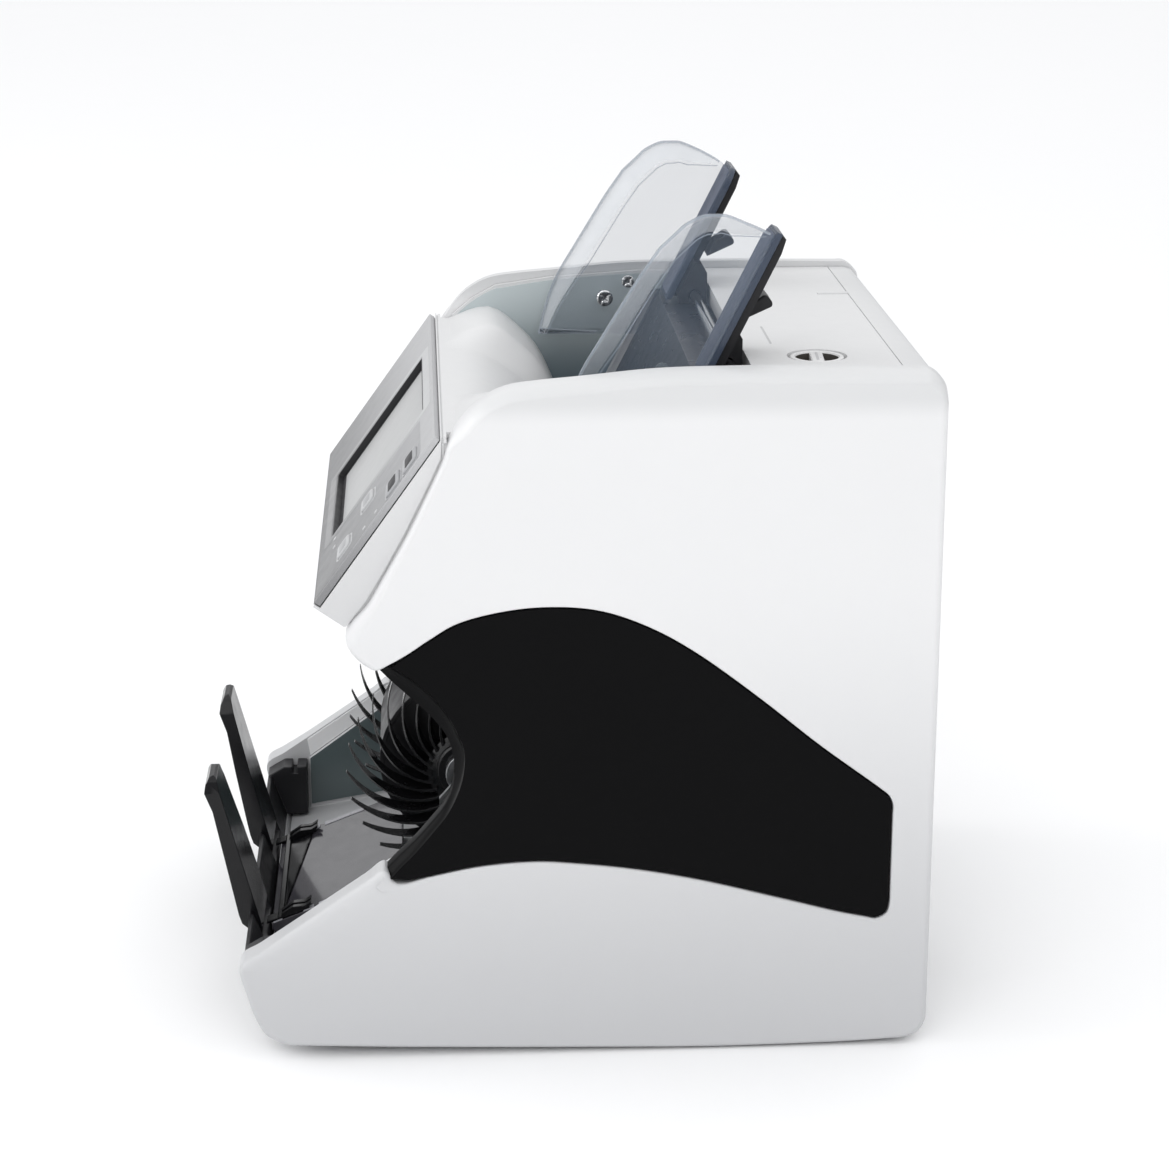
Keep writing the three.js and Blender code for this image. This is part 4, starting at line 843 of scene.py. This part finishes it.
# printed fields on the panel film
panel_piece("film_field", round_rect(0, 41.5, 112, 75.5, 3.0), -0.02, 0.10, "print_field", hole=round_rect(0, 41.5, 101.4, 66.4, 1.8), edge=0.05)
panel_piece("film_keys", round_rect(87.5, 36.5, 55.0, 71.0, 3.0), -0.02, 0.08, "print_keys", edge=0.04)
for nm, u, v, w, h in (("key_start", 105.5, 65.5, 19, 8.5), ("key_mode", 105.5, 54.0, 19, 8.5), ("key_add", 76, 36, 15, 8), ("key_batch", 97, 20, 15, 8)):
    strong = nm in ("key_start", "key_mode")
    body = {"key_start": "start_key", "key_mode": "mode_key", "key_add": "add_key", "key_batch": "batch_key"}[nm]
    r = 2.2
    panel_piece(nm + "_cap", round_rect(u, v, w, h, r), -2.9, 1.1, "key_silver" if strong else "key_pale", body, edge=0.55, replaces=(nm,))
    panel_piece(nm + "_dish", round_rect(u, v, w - 4.2, h - 3.4, 1.5), 1.0, 1.16, "print_dark" if strong else "key_silver", body, edge=0.12)
    panel_piece(nm + "_ring", round_rect(u, v, w + 2.6, h + 2.6, r + 1.2), -0.02, 0.22, "key_silver" if strong else "key_pale", hole=round_rect(u, v, w + 0.8, h + 0.8, r + 0.3), edge=0.1)
for i, (u, v) in enumerate(((62, 12), (74, 12), (110, 34), (110, 42))):
    panel_piece("lamp_%d" % i, round_rect(u, v, 3.0, 1.8, 0.8), -0.02, 0.35, "key_pale", edge=0.15)

# soft strip that closes the joint between the head and each side shell
seam = [(-47.0, 254.0), (-46.8, 248.2), (-53.0, 235.2), (-61.2, 218.8), (-69.6, 203.8), (-77.5, 190.6), (-84.0, 182.9)]
for sx, nm in ((1, "right"), (-1, "left")):
    d = spline(seam, 3.0, closed=False)
    e = []
    for i, p in enumerate(d):
        q0, q1 = d[max(i - 1, 0)], d[min(i + 1, len(d) - 1)]
        t = Vector((q1[0] - q0[0], q1[1] - q0[1])).normalized()
        e.append((p[0] - t.y * 2.3, p[1] + t.x * 2.3))
    g = [(p[0] + (p[0] - q[0]), p[1] + (p[1] - q[1])) for p, q in zip(d, e)]
    x0, x1 = sorted((sx * 106.0, sx * 116.9))
    prism("head_seam_" + nm, e + list(reversed(g)), x0, x1, "head_white", bevel=0.5)

# smoked side liners of the pocket, standing on the tray
lin = [(-110.4, 20.8), (-57.6, 29.8), (-57.6, 80.2), (-66.0, 75.7), (-77.7, 67.6), (-110.4, 43.8)]
for sx, nm in ((1, "right"), (-1, "left")):
    x0, x1 = sorted((sx * 108.0, sx * 108.38))
    prism("pocket_liner_" + nm, spline(guard(lin), 3.0), x0, x1, "liner_teal", bevel=0.0)

# painted light: a brighter copy of the shell white on the upper band of the pocket's side walls, standing in for light
# where shade falls
bandp = [(-110.4, 44.6), (-77.7, 68.4), (-66.0, 76.5), (-58.6, 80.8), (-63.5, 85.2), (-72.3, 79.8), (-92, 66.3), (-111.6, 52.8)]
for sx, nm in ((1, "right"), (-1, "left")):
    x0, x1 = sorted((sx * 110.2, sx * 110.72))
    prism("pocket_band_" + nm, bandp, x0, x1, "band_lit_white", bevel=0.1)

# hopper cheeks: painted shade, a teal-grey sheet inside the side walls that darkens downwards, standing in for the
# shaded inner faces
cheek = [(-38.6, 257.2), (-22.4, 258.4), (-9.6, 249.6), (-3.6, 242.4), (7.6, 218), (24, 218), (50.6, 269.2), (72, 271.6), (72, 276.2), (46, 276.9), (6, 274.2), (-20, 270.4), (-30.4, 264.8)]
for sx, nm in ((1, "right"), (-1, "left")):
    x0, x1 = sorted((sx * 107.2, sx * 107.75))
    prism("hopper_cheek_" + nm, spline(guard(cheek), 3.0), x0, x1, "cheek_shade_teal", bevel=0.0)

# joint strip between the head and the hopper, and dark end plates on the drum cover
prism("head_top_strip", [(-47.1, 243.5), (-46.2, 243.5), (-46.2, 256.5), (-47.1, 256.5)], -117.4, 117.4, "head_white", bevel=0.1)


def disc(name, x0, x1, r0, r1, cy, cz, mat, body="chassis", a0=0.0, a1=360.0, seg=64):
    full = a1 - a0 >= 360
    n = seg if full else seg + 1
    verts, faces = [], []
    for i in range(n):
        a = math.radians(a0 + (a1 - a0) * i / seg)
        for x, r in ((x0, r0), (x0, r1), (x1, r1), (x1, r0)):
            verts.append((x, cy + r * math.cos(a), cz + r * math.sin(a)))
    for i in range(n if full else n - 1):
        j = (i + 1) % n
        for k in range(4):
            l = (k + 1) % 4
            faces.append((i * 4 + k, j * 4 + k, j * 4 + l, i * 4 + l))
    if not full:
        faces.append((0, 1, 2, 3))
        faces.append(((n - 1) * 4 + 3, (n - 1) * 4 + 2, (n - 1) * 4 + 1, (n - 1) * 4))
    return make(name, verts, faces, mat, body, (), bevel=0.15, segments=2, sharp=30)


disc("drum_end_right", 26.2, 27.2, 10.0, 36.4, SY, SZ, "black_plastic", a0=97, a1=265)
disc("drum_end_left", -27.2, -26.2, 10.0, 36.4, SY, SZ, "black_plastic", a0=97, a1=265)

# painted reflection: pale strips along the edge of the pocket floor, standing in for the light its glossy raised edge
# reflects
FLOOR = lambda y: 26.5 + 0.39 * (y + 122.5)
for i, (y0, y1, h) in enumerate(((-121.4, -117.6, 0.5), (-108.5, -104.0, 0.35), (-102.0, -84.0, 0.35))):
    for sx, nm in ((1, "right"), (-1, "left")):
        x0, x1 = sorted((sx * 44.6, sx * 47.9))
        prism("floor_edge_%s_%d" % (nm, i), [(y0, FLOOR(y0) - 0.3), (y1, FLOOR(y1) - 0.3), (y1, FLOOR(y1) + h), (y0, FLOOR(y0) + h)], x0, x1, "floor_edge_glint", bevel=0.12)


# screws
def screw(name, at, axis, r, body="chassis", mat="steel"):
    ax = Vector(axis).normalized()
    t = ax.orthogonal().normalized()
    b = ax.cross(t)
    prof = [(0.0, 0.0), (r * 0.28, 0.0), (r * 0.34, 0.12), (r * 0.7, 0.34), (r * 0.92, 0.2), (r, -0.1), (r, -0.5), (0.0, -0.5)]
    seg = 28
    verts, faces = [], []
    n = len(prof)
    for i in range(seg):
        a = 2 * math.pi * i / seg
        notch = 0.35 if (i % 7) in (0,) else 0.0
        for k, (rr, h) in enumerate(prof):
            hh = h - (notch if 0 < k < 4 else 0.0)
            q = Vector(at) + t * (rr * math.cos(a)) + b * (rr * math.sin(a)) + ax * hh
            verts.append(tuple(q))
    for i in range(seg):
        j = (i + 1) % seg
        for k in range(n - 1):
            faces.append((i * n + k, j * n + k, j * n + k + 1, i * n + k + 1))
    return make(name, verts, faces, mat, body, (), sharp=35)


for i, (x, y) in enumerate(((-96, -60), (96, -60), (-96, 60), (96, 60), (-60, 128), (60, 128))):
    screw("base_screw_%d" % i, (x, y, 7.9), (0, 0, -1), 3.0)
for i, (x, z) in enumerate(((-98, 262), (98, 262))):
    screw("door_screw_%d" % i, (x, 146.7, z), (0, 1, 0), 2.8, body="rear_door")
for sx, nm in ((1, "right"), (-1, "left")):
    screw("guide_rivet_a_" + nm, (sx * 88.5, 28.9, 269.1), (-sx, 0, 0), 3.5, body=nm + "_guide", mat="chrome")
    screw("guide_rivet_b_" + nm, (sx * 91.2, 39.6, 276.2), (-sx, 0, 0), 2.8, body=nm + "_guide", mat="chrome")
# pins inside the mains inlet
for i, (x, z) in enumerate(((44.0, 32.0), (50.0, 36.2), (56.0, 32.0))):
    prism("inlet_pin_%d" % i, [(132.2, z - 1.9), (141.6, z - 1.9), (141.6, z + 1.9), (132.2, z + 1.9)], x - 0.9, x + 0.9, "chrome", bevel=0.3)

# deck details
def deck_plate(name, pts, z0, z1, mat, edge=0.15, body="chassis"):
    if area2(pts) < 0:
        pts = list(reversed(pts))
    rings = [[(p[0], p[1], z0) for p in pts]]
    for k in range(4):
        a = math.radians(90 * k / 3)
        q = inset(pts, edge * (1 - math.cos(a)))
        rings.append([(p[0], p[1], z1 - edge * (1 - math.sin(a))) for p in q])
    v, f = rings_to_mesh(rings)
    return make(name, v, f, mat, body, (), sharp=40)


deck_plate("deck_slit", round_rect(39.5, 86.5, 34.0, 0.9, 0.4), 278.2, 278.56, "panel_grey", edge=0.05)
deck_plate("deck_ledge", round_rect(-46.0, 126.0, 2.2, 14.0, 1.0), 278.2, 279.3, "shell_white", edge=0.5)
# thickness knob: dished ring, cross bar, and dark wells whose colour is painted shade
KX, KY = 80.0, 102.0


def lathe(name, prof, cx, cy, mat, body, seg=72, replaces=()):
    verts, faces = [], []
    n = len(prof)
    for i in range(seg):
        a = 2 * math.pi * i / seg
        verts += [(cx + r * math.cos(a), cy + r * math.sin(a), z) for r, z in prof]
    for i in range(seg):
        j = (i + 1) % seg
        for k in range(n - 1):
            faces.append((i * n + k, j * n + k, j * n + k + 1, i * n + k + 1))
    return make(name, verts, faces, mat, body, replaces, sharp=35)


lathe("knob_ring", [(0.0, 274.0), (0.0, 275.0), (8.0, 275.0), (8.3, 275.3), (8.6, 277.8), (9.0, 278.3), (9.9, 278.45), (10.6, 278.2), (11.0, 277.4), (11.6, 273.6), (11.6, 273.0), (11.2, 272.7), (0.0, 272.7)], KX, KY, "knob_silver", "knob", replaces=("thickness_knob",))
# painted shade: dark disc on the floor of the knob's wells
lathe("knob_well", [(0.0, 275.02), (0.0, 275.12), (8.0, 275.12), (8.25, 275.4), (8.5, 277.7), (8.62, 277.7), (8.45, 275.2), (8.0, 274.9)], KX, KY, "knob_well_shade", "knob")
bar = round_rect(0, 0, 5.4, 17.4, 1.6)
ang = math.radians(86)
bar = [(KX + p[0] * math.cos(ang) - p[1] * math.sin(ang), KY + p[0] * math.sin(ang) + p[1] * math.cos(ang)) for p in bar]
deck_plate("knob_bar", bar, 274.8, 278.35, "knob_silver", edge=0.9, body="knob")
slot = round_rect(0, 0, 1.1, 14.0, 0.5)
slot = [(KX + p[0] * math.cos(ang) - p[1] * math.sin(ang), KY + p[0] * math.sin(ang) + p[1] * math.cos(ang)) for p in slot]
deck_plate("knob_mark", slot, 278.2, 278.40, "panel_grey", edge=0.05, body="knob")

# ------------------------------------------------------------------ stage
bm = bmesh.new()
R = 9.0
bmesh.ops.create_grid(bm, x_segments=4, y_segments=4, size=R)
me = bpy.data.meshes.new("floor")
bm.to_mesh(me)
bm.free()
me.materials.append(MATS["floor_white"])
floor = bpy.data.objects.new("floor", me)
scene.collection.objects.link(floor)

# ------------------------------------------------------------------ update
bpy.context.view_layer.update()
